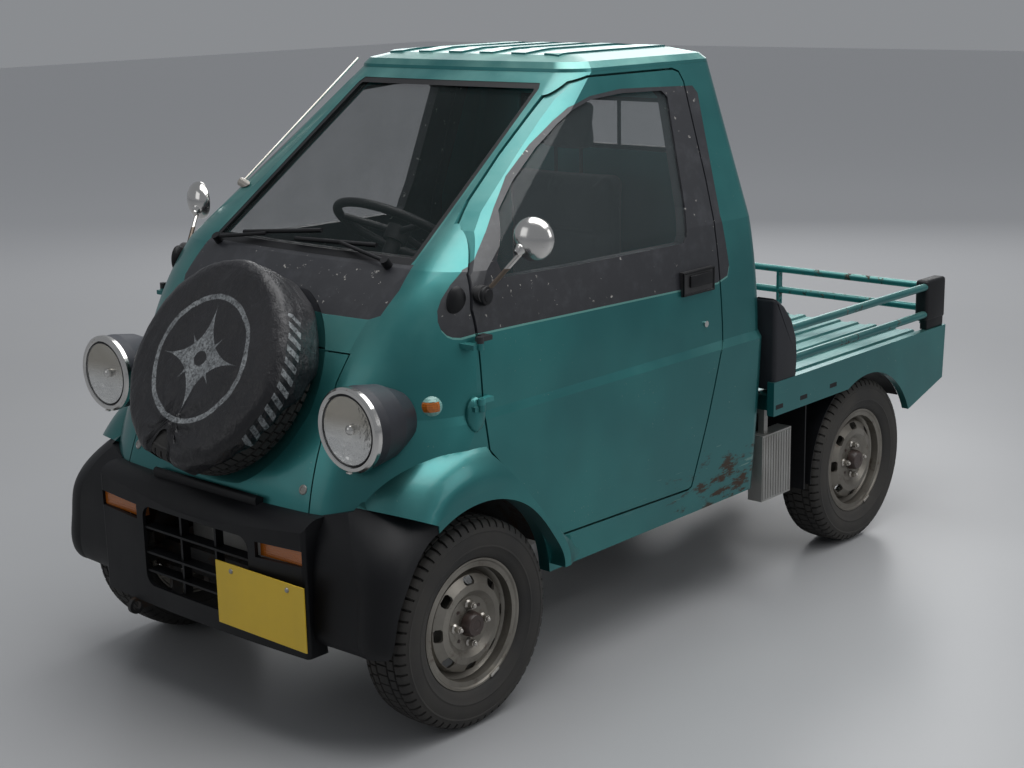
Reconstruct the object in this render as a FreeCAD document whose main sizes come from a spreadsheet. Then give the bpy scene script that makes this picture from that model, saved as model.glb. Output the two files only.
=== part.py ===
import FreeCAD, Part

# A single-seat kei truck: a sloping cab with round lamps, a spare wheel on its nose, and a railed load bed.
# Frame: +Z up, the front faces -Y, the vehicle's left is +X. The origin is on the ground, under the middle of the
# overall length. Sub-parts are drawn about the middle of the wheelbase and placed from there.

import math
import os
import re

import Sketcher
from FreeCAD import Placement, Rotation, Vector

os.makedirs("parts", exist_ok=True)
doc = FreeCAD.newDocument("kei_truck")

# ---------------------------------------------------------------- driving dimensions, in millimetres and degrees
SIZES = {
    # wheels and axles
    "mid_wheelbase": -35,
    "wheelbase": 1840,
    "track": 1100,
    "tyre_radius": 271,
    "tyre_width": 145,
    "tyre_wall": 11,
    "rim_radius": 170,
    "bead_radius": 154,
    "rim_width": 114,
    "rim_wall": 5,
    "mount_face": 40,
    "hub_bore": 33,
    "stud_circle": 50,
    "stud_radius": 6,
    "stud_count": 4,
    "vent_count": 8,
    "vent_circle": 112,
    "drum_radius": 92,
    "drum_depth": 52,
    "backing_gap": 6,
    "backing_plate": 6,
    "running_fit": 0.3,
    "seat_gap": 0.3,
    "spindle_radius": 14,
    "kingpin_x": 475,
    "kingpin_radius": 12,
    "arm_reach": 67,
    "axle_tube": 32,
    "spring_x": 338,
    "spring_half": 340,
    "leaf": 8,
    # cab
    "wall": 36,
    "panel_gap": 6,
    "seam_gap": 4,
    "glass": 5,
    "glass_recess": 6,
    "seal": 14,
    "floor_height": 402,
    "floor_sheet": 14,
    "roof_sheet": 16,
    "roof_rib": 5,
    "edge_slant": 0.2,
    "hinge_x": 622,
    "hinge_y": -886,
    "hinge_radius": 9,
    # arches, flares and bumper
    "arch_radius": 312,
    "arch_rise": 14,
    "flare_half": 646,
    "bumper_half": 410,
    "bumper_bottom": 245,
    "bumper_top": 592,
    "bumper_wall": 10,
    "grille_half": 213,
    "grille_bottom": 300,
    "grille_top": 518,
    "plate_width": 330,
    "plate_height": 165,
    "plate_x": 265,
    "plate_z": 358,
    # headlamps
    "lamp_x": 482,
    "lamp_y": -1186,
    "lamp_z": 812,
    "lamp_radius": 104,
    "lamp_depth": 196,
    # spare wheel
    "spare_y": -1178,
    "spare_z": 890,
    "spare_tilt": 30,
    "cover_wall": 3,
    "cover_gap": 1,
    "pocket_gap": 8,
    # load bed
    "bed_half": 645,
    "bed_front": 366,
    "bed_rear": 1430,
    "deck_height": 612,
    "deck_sheet": 3,
    "deck_rib": 14,
    "side_top": "=deck_height + 32",
    "side_wall": 24,
    "bearer_depth": 46,
    "rail_radius": 12.5,
    "rail_x": 628,
    "upper_rail": "=side_top + 146",
    "lower_rail": "=side_top + 52",
    "gate_y": 1386,
    "gate_hinge": "=side_top + 16",
    "pin_radius": 6,
    "rear_arch": 296,
    # chassis
    "frame_x": 275,
    "frame_width": 46,
    "frame_depth": 90,
    "frame_bottom": 312,
    "frame_front": -1210,
    "frame_rear": 1400,
    "engine_bottom": 205,
    # cabin
    "wheel_ring": 180,
    "ring_radius": 13,
    "column_radius": 22,
    "seat_half": 230,
}

sheet = doc.addObject("Spreadsheet::Sheet", "Sizes")
for row, (alias, value) in enumerate(SIZES.items(), start=1):
    sheet.set(f"A{row}", alias)
    sheet.set(f"B{row}", str(value))
    sheet.setAlias(f"B{row}", alias)
doc.recompute()


class Read:
    """size.wheelbase is the sheet's cell of that alias, as a number."""

    def __getattr__(self, alias):
        return float(sheet.get(alias))


size = Read()
nodes = []
LEFT_RIGHT = (("left", 1), ("right", -1))


def bound(text):
    """An expression over the sheet's aliases, such as "wheelbase / 2"."""
    return re.sub(r"[a-z_]+", lambda word: f"Sizes.{word[0]}" if word[0] in SIZES else word[0], str(text))


def bind(item, **expressions):
    """Properties bound to expressions; a double underscore stands for the dot in a property's path."""
    for prop, text in expressions.items():
        item.setExpression(prop.replace("__", "."), bound(text))
    return item


def node(item, label, placed=None):
    """Names a sub-part and sets it from the middle of the wheelbase into the frame."""
    item.Label = label
    if placed is not None:
        item.Placement = placed
    bind(item, Placement__Base__y=f"mid_wheelbase + ({placed.Base.y if placed is not None else 0})")
    nodes.append(item)
    return item


# ---------------------------------------------------------------- bound document objects
def box(x, y, z):
    """A box between pairs of expressions."""
    item = doc.addObject("Part::Box", "Box")
    return bind(item, Length=f"({x[1]}) - ({x[0]})", Width=f"({y[1]}) - ({y[0]})", Height=f"({z[1]}) - ({z[0]})",
                Placement__Base__x=x[0], Placement__Base__y=y[0], Placement__Base__z=z[0])


ALONG = {"X": Rotation(Vector(0, 1, 0), 90), "Y": Rotation(Vector(1, 0, 0), -90), "Z": Rotation()}


def bar(axis, x, y, z, radius):
    """A round bar along an axis: that axis has a pair of expressions, the others one each."""
    spans = {"X": x, "Y": y, "Z": z}
    low, high = spans[axis]
    spans[axis] = low
    item = doc.addObject("Part::Cylinder", "Bar")
    item.Placement = Placement(Vector(0, 0, 0), ALONG[axis])
    return bind(item, Radius=radius, Height=f"({high}) - ({low})", Placement__Base__x=spans["X"],
                Placement__Base__y=spans["Y"], Placement__Base__z=spans["Z"])


def twin(item):
    """The right-hand copy of a left-hand object."""
    copy = doc.addObject("Part::Mirroring", "Twin")
    copy.Source = item
    copy.Normal = Vector(1, 0, 0)
    return copy


def fused(*items):
    union = doc.addObject("Part::MultiFuse", "Fused")
    union.Shapes = list(items)
    union.Refine = True
    return union


def less(base, *tools):
    """The base with the tools cut out of it."""
    for tool in tools:
        cut = doc.addObject("Part::Cut", "Less")
        cut.Base, cut.Tool = base, tool
        base = cut
    return base


def gathered(label, *items):
    """A sub-part of several document objects that don't touch."""
    group = doc.addObject("Part::Compound", label)
    group.Links = list(items)
    return node(group, label)


# ---------------------------------------------------------------- worked-out shapes
def outline(points, plane, at=0.0):
    """A closed face through (u, v) points on plane "XY", "XZ" or "YZ", at the third coordinate.
    A point may be ((u, v), (u, v)): an arc's middle and end."""
    def raised(point):
        u, v = point
        return {"XY": Vector(u, v, at), "XZ": Vector(u, at, v), "YZ": Vector(at, u, v)}[plane]

    ends = [point if not isinstance(point[0], tuple) else point[1] for point in points]
    edges = []
    for index, point in enumerate(points):
        start = raised(ends[index - 1])
        if isinstance(point[0], tuple):
            edges.append(Part.Arc(start, raised(point[0]), raised(point[1])).toShape())
        else:
            edges.append(Part.LineSegment(start, raised(point)).toShape())
    return Part.Face(Part.Wire(edges))


def grown(points, gap):
    """The outline moved outwards by a gap, or inwards by a negative one, its corners kept sharp."""
    if not gap:
        return list(points)
    corners = [Vector(u, v, 0) for u, v in points]
    wire = Part.Face(Part.makePolygon(corners + corners[:1])).makeOffset2D(gap, 2).OuterWire
    return [(vertex.Point.x, vertex.Point.y) for vertex in wire.OrderedVertexes]


def prism(points, plane, low, high):
    """The outline drawn out from low to high along the plane's third axis."""
    reach = {"XY": Vector(0, 0, high - low), "XZ": Vector(0, high - low, 0), "YZ": Vector(high - low, 0, 0)}[plane]
    return outline(points, plane, low).extrude(reach)


def block(x, y, z):
    """A box between pairs of limits."""
    return Part.makeBox(x[1] - x[0], y[1] - y[0], z[1] - z[0], Vector(x[0], y[0], z[0]))


def rod(start, end, radius):
    """A round bar between two points."""
    start, end = Vector(*start), Vector(*end)
    along = end - start
    return Part.makeCylinder(radius, along.Length, start, along)


def spun(profile, centre, axis):
    """A ring or disc: (reach, radius) points turned about an axis, reach measured along it from the centre."""
    solid = outline(profile, "XZ").revolve(Vector(0, 0, 0), Vector(1, 0, 0), 360)
    if solid.Volume < 0:
        solid.reverse()
    place = Placement(Vector(*centre), Rotation(Vector(1, 0, 0), Vector(*axis)))
    return solid.transformed(place.toMatrix(), True)


def mirrored(shape):
    return shape.mirror(Vector(0, 0, 0), Vector(1, 0, 0))


def both(shape):
    """A left-hand solid and its right-hand twin."""
    return [shape, mirrored(shape)]


def joined(shapes):
    """One solid of shapes that meet."""
    return shapes[0].multiFuse(shapes[1:]).removeSplitter()


def main_solid(shape):
    """The largest solid of a shape, without the slivers a cut may leave."""
    return max(shape.Solids, key=lambda solid: solid.Volume)


def made(label, *shapes):
    """A sub-part whose form is worked out by Part's own functions; several solids share one compound."""
    item = doc.addObject("Part::Feature", label)
    item.Shape = shapes[0] if len(shapes) == 1 else Part.makeCompound(list(shapes))
    return node(item, label)


# ---------------------------------------------------------------- wheels
def polygon(body, name, role, points):
    """A sketch on one of the body's own planes, each corner bound to a pair of expressions."""
    sketch = body.newObject("Sketcher::SketchObject", name)
    plane = [item for item in body.Origin.OriginFeatures if item.Role == role][0]
    sketch.AttachmentSupport = (plane, [""])
    sketch.MapMode = "FlatFace"
    count = len(points)
    turn = 2 * math.pi / count
    drawn = [Vector(100 * math.cos(turn * index), 100 * math.sin(turn * index), 0) for index in range(count)]
    for index in range(count):
        sketch.addGeometry(Part.LineSegment(drawn[index], drawn[(index + 1) % count]))
    for index in range(count):
        sketch.addConstraint(Sketcher.Constraint("Coincident", index, 2, (index + 1) % count, 1))
    for index, (u, v) in enumerate(points):
        across = sketch.addConstraint(Sketcher.Constraint("DistanceX", -1, 1, index, 1, drawn[index].x))
        sketch.setExpression(f"Constraints[{across}]", bound(u))
        up = sketch.addConstraint(Sketcher.Constraint("DistanceY", -1, 1, index, 1, drawn[index].y))
        sketch.setExpression(f"Constraints[{up}]", bound(v))
    return sketch


def turned(body, sketch, name):
    """The sketch turned once about its horizontal axis."""
    feature = body.newObject("PartDesign::Revolution", name)
    feature.Profile = sketch
    feature.ReferenceAxis = (sketch, ["H_Axis"])
    feature.Angle = 360
    return feature


def round_hole(body, name, circle, radius):
    """A circle above the wheel's axle, in the wheel's plane."""
    sketch = body.newObject("Sketcher::SketchObject", name)
    plane = [item for item in body.Origin.OriginFeatures if item.Role == "YZ_Plane"][0]
    sketch.AttachmentSupport = (plane, [""])
    sketch.MapMode = "FlatFace"
    sketch.addGeometry(Part.Circle(Vector(0, 90, 0), Vector(0, 0, 1), 10))
    sketch.addConstraint(Sketcher.Constraint("PointOnObject", 0, 3, -2))
    up = sketch.addConstraint(Sketcher.Constraint("DistanceY", -1, 1, 0, 3, 90))
    sketch.setExpression(f"Constraints[{up}]", bound(circle))
    wide = sketch.addConstraint(Sketcher.Constraint("Radius", 0, 10))
    sketch.setExpression(f"Constraints[{wide}]", bound(radius))
    return sketch


def holes(body, sketch, name, count):
    """A ring of holes through the body, about the wheel's axle."""
    pocket = body.newObject("PartDesign::Pocket", name)
    pocket.Profile = sketch
    pocket.Type = "ThroughAll"
    pocket.Midplane = True
    ring = body.newObject("PartDesign::PolarPattern", f"{name}Ring")
    ring.Originals = [pocket]
    ring.Axis = (sketch, ["N_Axis"])
    ring.Angle = 360
    ring.Occurrences = int(count)
    body.Tip = ring


def wheel_place(side, end):
    """Where a wheel's own frame sits: X outboard along its axle."""
    turn = Rotation(Vector(0, 0, 1), 0 if side > 0 else 180)
    return Placement(Vector(side * size.track / 2, end * size.wheelbase / 2, size.tyre_radius), turn)


TYRE_BEAD = (
    # reach out from the middle plane, radius: the bead in its seat, from its toe round to the flange
    ("rim_width / 2 - 22", "rim_radius + 6"), ("rim_width / 2 - 22", "bead_radius"),
    ("rim_width / 2 - 9.3", "bead_radius"), ("rim_width / 2 - 9.3", "rim_radius - 3"),
    ("rim_width / 2", "rim_radius + 1.5"), ("0.97 * tyre_width / 2", "rim_radius + 24"),
)
TYRE_CROWN = (
    # share of the half width, radius: sidewall, shoulder and tread
    ("1.0", "rim_radius + 44"), ("0.97", "tyre_radius - 30"), ("0.86", "tyre_radius - 10"),
    ("0.60", "tyre_radius - 2.5"), ("0.0", "tyre_radius"),
)


def tyre(label, placed):
    """A tyre as an open ring whose beads sit inside the rim's flanges."""
    body = doc.addObject("PartDesign::Body", label)
    outer = list(TYRE_BEAD) + [(f"{share} * tyre_width / 2", radius) for share, radius in TYRE_CROWN]
    inner = [(f"{share} * (tyre_width / 2 - tyre_wall)", f"{radius} - tyre_wall") for share, radius in TYRE_CROWN]
    outer_left = [(f"-({reach})", radius) for reach, radius in reversed(outer[:-1])]
    inner_left = [(f"-({reach})", radius) for reach, radius in inner[:-1]]
    loop = outer + outer_left + inner_left + inner[::-1]
    turned(body, polygon(body, "Section", "XZ_Plane", loop), "Carcass")
    return node(body, label, placed)


RIM_LINE = (
    # reach, radius and inner reach: the outer line of the rolled rim, from its inner flange to its outer flange
    ("-rim_width / 2", "rim_radius", "-rim_width / 2"),
    ("-rim_width / 2 + 9", "rim_radius - 4", "-rim_width / 2 + 9 - rim_wall"),
    ("-rim_width / 2 + 9", "bead_radius - 1", "-rim_width / 2 + 9 - rim_wall"),
    ("-rim_width / 4", "bead_radius - 3", "-rim_width / 4 - 1"),
    ("-rim_width / 8", "bead_radius - 18", "-rim_width / 8 - 1"),
    ("rim_width / 8", "bead_radius - 18", "rim_width / 8 + 1"),
    ("rim_width / 4", "bead_radius - 3", "rim_width / 4 + 1"),
    ("rim_width / 2 - 9", "bead_radius - 1", "rim_width / 2 - 9 + rim_wall"),
    ("rim_width / 2 - 9", "rim_radius - 4", "rim_width / 2 - 9 + rim_wall"),
    ("rim_width / 2", "rim_radius", "rim_width / 2"),
)
DISC_LINE = (
    # reach, radius: the pressed disc, its front face from the bore out to the well and its back face home again
    ("mount_face", "hub_bore"), ("mount_face", "stud_circle + 20"), ("mount_face + 12", "vent_circle - 26"),
    ("mount_face + 10", "vent_circle - 8"), ("mount_face - 4", "vent_circle + 14"),
    ("rim_width / 8 + 3", "bead_radius - 22.6"), ("rim_width / 8 - 4", "bead_radius - 22.6"),
    ("mount_face - 10", "vent_circle + 11"), ("mount_face + 4", "vent_circle - 10"),
    ("mount_face + 6", "vent_circle - 24"), ("mount_face - rim_wall", "stud_circle + 21"),
    ("mount_face - rim_wall", "hub_bore"),
)
VENT = (
    # across, up: a slot with its corners taken off
    ("-17", "vent_circle - 4"), ("-12", "vent_circle - 9"), ("12", "vent_circle - 9"), ("17", "vent_circle - 4"),
    ("17", "vent_circle + 7"), ("12", "vent_circle + 12"), ("-12", "vent_circle + 12"), ("-17", "vent_circle + 7"),
)
DRUM_LINE = (
    # reach, radius: the hub's nose, the flange behind the disc and the brake drum, all bored for the spindle
    ("mount_face + 26", "spindle_radius + running_fit"), ("mount_face + 26", "hub_bore - 6"),
    ("mount_face + 20", "hub_bore - 2"), ("mount_face + 2", "hub_bore - 2"), ("mount_face + 2", "hub_bore + 3"),
    ("mount_face - rim_wall + 1", "hub_bore + 3"), ("mount_face - rim_wall + 1", "drum_radius - 14"),
    ("mount_face - rim_wall", "drum_radius - 14"), ("mount_face - rim_wall", "drum_radius"),
    ("mount_face - rim_wall - drum_depth", "drum_radius"),
    ("mount_face - rim_wall - drum_depth", "drum_radius - 9"), ("mount_face - rim_wall - 9", "drum_radius - 9"),
    ("mount_face - rim_wall - 9", "hub_bore"), ("mount_face - rim_wall - drum_depth", "hub_bore"),
    ("mount_face - rim_wall - drum_depth", "spindle_radius + running_fit"),
)


def rim(label, placed, drum):
    """A rolled steel rim with its pressed disc, vent and stud holes; a road wheel is bolted to its brake drum."""
    body = doc.addObject("PartDesign::Body", label)
    outer = [(reach, radius) for reach, radius, inner_reach in RIM_LINE]
    inner = [(inner_reach, f"{radius} - rim_wall") for reach, radius, inner_reach in RIM_LINE]
    turned(body, polygon(body, "RimSection", "XZ_Plane", outer + inner[::-1]), "Rolled")
    turned(body, polygon(body, "DiscSection", "XZ_Plane", DISC_LINE), "Disc")
    holes(body, polygon(body, "VentSection", "YZ_Plane", VENT), "Vents", size.vent_count)
    holes(body, round_hole(body, "StudSection", "stud_circle", "stud_radius"), "Studs", size.stud_count)
    if drum:
        turned(body, polygon(body, "DrumSection", "XZ_Plane", DRUM_LINE), "Drum")
    return node(body, label, placed)


WHEELS = (
    # name, side (+1 left), end (-1 front)
    ("front_left", 1, -1), ("front_right", -1, -1), ("rear_left", 1, 1), ("rear_right", -1, 1),
)
for name, side, end in WHEELS:
    tyre(f"tyre_{name}", wheel_place(side, end))
    rim(f"rim_{name}", wheel_place(side, end), True)

# ---------------------------------------------------------------- cab
# Plan sections of the cab's skin. From the front's middle each runs across the nose, round the corner, back along
# the side and round the rear corner.
CAB_LOWER = (
    # height, nose_y, front_x, front_y, corner_x, corner_y, rear_x, back_y
    (318, -1262, 340, -1248, 590, -1080, 597, 350),
    (560, -1253, 340, -1238, 604, -1000, 612, 356),
    (786, -1166, 340, -1146, 606, -884, 620, 362),
)
CAB_LEDGE = (
    (786, -1166, 340, -1146, 606, -884, 620, 362),
    (808, -1152, 340, -1132, 603, -878, 606, 362),
)
CAB_UPPER = (
    (808, -1152, 340, -1132, 603, -878, 606, 362),
    (1035, -1010, 352, -990, 586, -850, 590, 360),
    (1143, -907, 396, -889, 562, -792, 575, 355),
)
CAB_GLAZED = (
    (1143, -907, 396, -889, 562, -792, 575, 355),
    (1586, -297, 349, -286, 433, -222, 442, 327),
)
CORNER_BULGE = 0.17
REAR_ROUND = 42


def cab_section(row, inset, lean):
    """One plan section as a wire, set in from the skin; lean allows for the slope of the front."""
    height, nose_y, front_x, front_y, corner_x, corner_y, rear_x, back_y = row
    ahead = inset * lean
    front = (front_x - 0.35 * inset, front_y + ahead)
    corner = (corner_x - inset, corner_y + 0.4 * ahead)
    back = back_y - inset
    rear = rear_x - inset
    turn = REAR_ROUND - 0.6 * inset
    across, along = corner[0] - front[0], corner[1] - front[1]
    middle = ((front[0] + corner[0]) / 2 + CORNER_BULGE * along, (front[1] + corner[1]) / 2 - CORNER_BULGE * across)
    swing = turn * (1 - math.sqrt(0.5))
    right = [
        (middle, corner), (rear, back - turn), ((rear - swing, back - swing), (rear - turn, back)),
    ]
    left = [
        (-rear + turn, back), ((-rear + swing, back - swing), (-rear, back - turn)), (-corner[0], corner[1]),
        ((-middle[0], middle[1]), (-front[0], front[1])),
    ]
    nose = ((0, nose_y + ahead), front)
    return outline([nose] + right + left, "XY", height).OuterWire


def cab_form(inset):
    """The cab as a solid, its skin moved inwards by inset."""
    stretches = ((CAB_LOWER, 1.0), (CAB_LEDGE, 1.1), (CAB_UPPER, 1.2), (CAB_GLAZED, 1.6))
    forms = []
    for number, (rows, lean) in enumerate(stretches):
        leans = [lean] * len(rows)
        if number:
            leans[0] = (stretches[number - 1][1] + lean) / 2
        if number + 1 < len(stretches):
            leans[-1] = (lean + stretches[number + 1][1]) / 2
        wires = [cab_section(row, inset, slope) for row, slope in zip(rows, leans)]
        forms.append(Part.makeLoft(wires, True, len(rows) == 2))
    return joined(forms)


forms_made = {}


def skins(depth):
    """cab_form at a depth, kept for the panels that share it."""
    if depth not in forms_made:
        forms_made[depth] = cab_form(depth)
    return forms_made[depth]


def layer(outside, inside):
    """The part of the cab's wall between two depths below its skin."""
    return skins(outside).cut(skins(inside))


front_axle, rear_axle = -size.wheelbase / 2, size.wheelbase / 2
axle_z = size.tyre_radius
arch_z = axle_z + size.arch_rise
inside = size.wall + size.seat_gap
front_arch = rod((-720, front_axle, arch_z), (720, front_axle, arch_z), size.arch_radius)

# The door's edge where it runs on the skin: up the front beside the wheel flare, up the windscreen pillar, along the
# roof rail, down the rear edge and forward along the sill.
DOOR = (
    # x, y, z
    (606, -600, 437), (606, -664, 500), (606, -760, 612), (605, -846, 705), (605, -860, 798), (601, -863, 893),
    (592, -864, 998), (572, -861, 1057), (540, -836, 1136), (449, -760, 1229), (426, -711, 1271),
    (407, -545, 1393), (398, -434, 1473), (401, -357, 1526), (417, -292, 1562), (440, -238, 1575),
    (446, 128, 1575), (450, 154, 1566), (457, 166, 1538), (534, 161, 1263), (576, 152, 1126), (596, 152, 983),
    (606, 154, 808), (617, 130, 780), (612, 76, 595), (600, 10, 402), (600, -6, 396), (600, -560, 410),
)
PILLAR = ((200, 900), (200, 1640), (374, 1640), (378, 1500), (386, 1393), (404, 1290), (430, 1226), (430, 900))
PILLAR_BACK = -270
PRISM_START = 300
PRISM_END = 700


def door_prism(gap):
    """The door's outline grown by a gap and drawn out through the wall, clear of the windscreen's pillar. Its edges
    slant back as they go outwards, so that the rear edge swings clear of the pillar behind it."""
    flat = [(y - size.edge_slant * (x - PRISM_START), z) for x, y, z in DOOR]
    reach = PRISM_END - PRISM_START
    drawn = outline(grown(flat, gap), "YZ", PRISM_START).extrude(Vector(reach, size.edge_slant * reach, 0))
    return drawn.cut(prism(grown(PILLAR, -gap), "XZ", -1300, PILLAR_BACK))


SIDE_GLASS = (
    # y, z of the side window's opening
    (-738, 1118), (-750, 1160), (-672, 1272), (-591, 1337), (-488, 1409), (-399, 1463), (-342, 1492), (-254, 1515),
    (-124, 1523), (56, 1519), (76, 1500), (57, 1349), (38, 1200), (17, 1122), (0, 1106), (-441, 1110),
)
SCREEN = ((-386, 1150), (386, 1150), (388, 1162), (349, 1546), (338, 1560), (-338, 1560), (-349, 1546), (-388, 1162))
REAR_GLASS = ((-305, 1314), (305, 1314), (292, 1475), (-292, 1475))


def glass_prism(gap):
    return prism(grown(SIDE_GLASS, gap), "YZ", PRISM_START, PRISM_END)


def screen_prism(gap):
    return prism(grown(SCREEN, gap), "XZ", -1010, -240)


def rear_prism(gap):
    return prism(grown(REAR_GLASS, gap), "XZ", 200, 420)


# The spare wheel leans back against the nose, in a shallow round pocket.
spare_out = Vector(0, -math.cos(math.radians(size.spare_tilt)), math.sin(math.radians(size.spare_tilt)))
spare_at = Vector(0, size.spare_y, size.spare_z)
cover_radius = size.tyre_radius + size.cover_gap + size.cover_wall
cover_half = size.tyre_width / 2 + size.cover_gap + size.cover_wall
pocket_floor = cover_half + size.pocket_gap
pocket = rod(spare_at - pocket_floor * spare_out, spare_at + 2 * cover_half * spare_out,
             cover_radius + size.pocket_gap)

BONNET = ((-362, 560), (362, 560), (330, 886), (338, 948), (-338, 948), (-330, 886))
SLOT = ((-208, 572), (208, 572), (200, 597), (-200, 597))
BONNET_REACH = (-1400, -900)
shell = layer(0, size.wall)
slot = prism(SLOT, "XZ", *BONNET_REACH)
bonnet = shell.common(prism(BONNET, "XZ", *BONNET_REACH)).cut(pocket).cut(slot)
made("bonnet", main_solid(bonnet))

door_hole = door_prism(size.panel_gap / 2)
notch = block((-560, 560), (300, 420), (300, size.floor_height + size.seat_gap))
chin = block((-700, 700), (-1400, -1100), (200, 560))
cab_shell = shell
for tool in (door_hole, mirrored(door_hole), prism(grown(BONNET, size.seam_gap), "XZ", *BONNET_REACH),
             screen_prism(0), rear_prism(0), front_arch, pocket, chin, notch):
    cab_shell = cab_shell.cut(tool)
made("cab_shell", main_solid(cab_shell))

door = main_solid(shell.common(door_prism(-size.panel_gap / 2)).cut(glass_prism(0)))
side_glass = main_solid(layer(size.glass_recess, size.glass_recess + size.glass).common(glass_prism(-size.seat_gap)))
for name, shape, pane in zip(("left", "right"), both(door), both(side_glass)):
    made(f"door_{name}", shape)
    made(f"door_glass_{name}", pane)

screen_layer = layer(size.glass_recess, size.glass_recess + 2 * size.glass)
made("windscreen", main_solid(screen_layer.common(screen_prism(-size.seal))))
rear_pane = layer(size.glass_recess, size.glass_recess + size.glass).common(rear_prism(-size.seal))
made("rear_window", main_solid(rear_pane))
seal_layer = layer(1, size.glass_recess + 3 * size.glass)
screen_seal = seal_layer.common(screen_prism(-size.seat_gap)).cut(screen_prism(-size.seal))
rear_seal = seal_layer.common(rear_prism(-size.seat_gap)).cut(rear_prism(-size.seal))
made("window_seals", main_solid(screen_seal), main_solid(rear_seal))

# The roof: a crowned pan over the cab's top edge, with raised ribs along it.
ROOF = (
    # rise above the cab's top edge, share of the plan's size
    (0, 1.0), (9, 0.995), (26, 0.955), (42, 0.80), (50, 0.50),
)
ROOF_MIDDLE = 10
ROOF_RIBS = (-300, -180, -60, 60, 180, 300)


def roof_section(rise, share):
    """A plan section of the roof: the cab's top edge drawn in towards the roof's middle."""
    height, *plan = CAB_GLAZED[-1]
    nose_y, front_x, front_y, corner_x, corner_y, rear_x, back_y = plan
    along = [ROOF_MIDDLE + (y - ROOF_MIDDLE) * share for y in (nose_y, front_y, corner_y, back_y)]
    row = (height + size.seat_gap + rise, along[0], front_x * share, along[1], corner_x * share, along[2],
           rear_x * share, along[3])
    return cab_section(row, 0, 1)


def roof_form(lift, rows):
    return Part.makeLoft([roof_section(rise + lift, share) for rise, share in rows], True, True)


lining = Part.makeLoft([roof_section(rise - size.roof_sheet, share - 0.035) for rise, share in ROOF[1:]], True, True)
raised = roof_form(size.roof_rib, ROOF)
ribs = [raised.common(block((x - 26, x + 26), (-230, 250), (1600, 1700))) for x in ROOF_RIBS]
roof = joined([roof_form(0, ROOF)] + ribs).cut(lining)
made("roof_panel", main_solid(roof))

# The floor pan with its wheel housings.
floor_low, floor_top = size.floor_height, size.floor_height + size.floor_sheet
house_in, house_out = 306, 560
TOE_BOARD = -1100
pan = block((-560, 560), (TOE_BOARD, 310), (floor_low, floor_top))
toe = block((-560, 560), (TOE_BOARD, TOE_BOARD + size.floor_sheet), (floor_low, 860))
pan = joined([pan, toe]).common(skins(inside))
above_floor = block((0, 700), (-1400, -400), (floor_low, 900))
void = rod((house_in, front_axle, arch_z), (620, front_axle, arch_z), size.arch_radius + 2)
liner = rod((house_in - 6, front_axle, arch_z), (house_out, front_axle, arch_z), size.arch_radius + 8)
liner = liner.cut(void).common(above_floor).common(skins(inside))
pan = pan.cut(void).cut(mirrored(void)).cut(door_prism(size.panel_gap)).cut(mirrored(door_prism(size.panel_gap)))
made("cab_floor", main_solid(joined([pan] + both(liner))))

# The bumper: a hollow centre section with the grille opening, and a domed wing each side round to the arch.
WING = (
    # height, start of the corner, its middle and its end, then how far out the rear edge stands: x, y
    (281, (556, -1256), (618, -1238), (640, -1184), 640),
    (306, (560, -1267), (628, -1248), (646, -1186), 645),
    (400, (560, -1265), (628, -1245), (647, -1182), 646),
    (480, (552, -1260), (620, -1237), (646, -1165), 646),
    (535, (530, -1247), (596, -1218), (632, -1146), 646),
    (580, (500, -1224), (562, -1190), (600, -1122), 640),
    (622, (455, -1188), (515, -1156), (550, -1094), 622),
    (642, (420, -1150), (478, -1126), (520, -1084), 606),
)
WING_BACK = -1070
SEAM_AT, SEAM_UP = Vector(490, -1180, 617), Vector(-0.069, 0.472, 1)


def wing_form(inset):
    """The left wing's dome, as plan sections up its height."""
    wires = []
    inner = size.bumper_half - 8 - inset
    for height, (front_x, front_y), (mid_x, mid_y), (side_x, side_y), back_x in WING:
        level = height + inset if height < 300 else height - 0.4 * inset
        wires.append(outline([(inner, WING_BACK), (inner, front_y - 6 + inset), (front_x - 0.4 * inset, front_y + inset),
                              ((mid_x - 0.8 * inset, mid_y + 0.7 * inset), (side_x - inset, side_y + 0.3 * inset)),
                              (back_x - inset, WING_BACK)], "XY", level).OuterWire)
    return Part.makeLoft(wires, True, False)


def seam_block(low, high):
    """A slab that follows the seam between the wing and the flare above it."""
    slab = block((-400, 400), (-400, 400), (low, high))
    return slab.transformed(Placement(SEAM_AT, Rotation(Vector(0, 0, 1), SEAM_UP)).toMatrix(), True)


def bumper_form(inset):
    """The bumper's outer form, or its hollow when set in by the wall."""
    half, low, high = size.bumper_half - inset, size.bumper_bottom + inset, size.bumper_top - inset
    centre = prism([(-half, -1282 + inset), ((-half + 4, -1290 + inset), (-half + 14, -1293 + inset)),
                    ((0, -1307 + inset), (half - 14, -1293 + inset)),
                    ((half - 4, -1290 + inset), (half, -1282 + inset)), (half, -1190), (-half, -1190)], "XY", low, high)
    top_edge = prism([(-1400, high - 60), (-1306 + inset, high - 60), ((-1288 + inset, high - 20), (-1238, high)),
                      (-1238, 700), (-1400, 700)], "YZ", -500, 500)
    wing = wing_form(inset).cut(seam_block(-inset, 300))
    wing = wing.cut(prism([(380, high - 4), (483, high + 20), (483, 800), (380, 800)], "XZ", -1400, -1000))
    return joined([centre.cut(top_edge), wing, mirrored(wing)])


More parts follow.
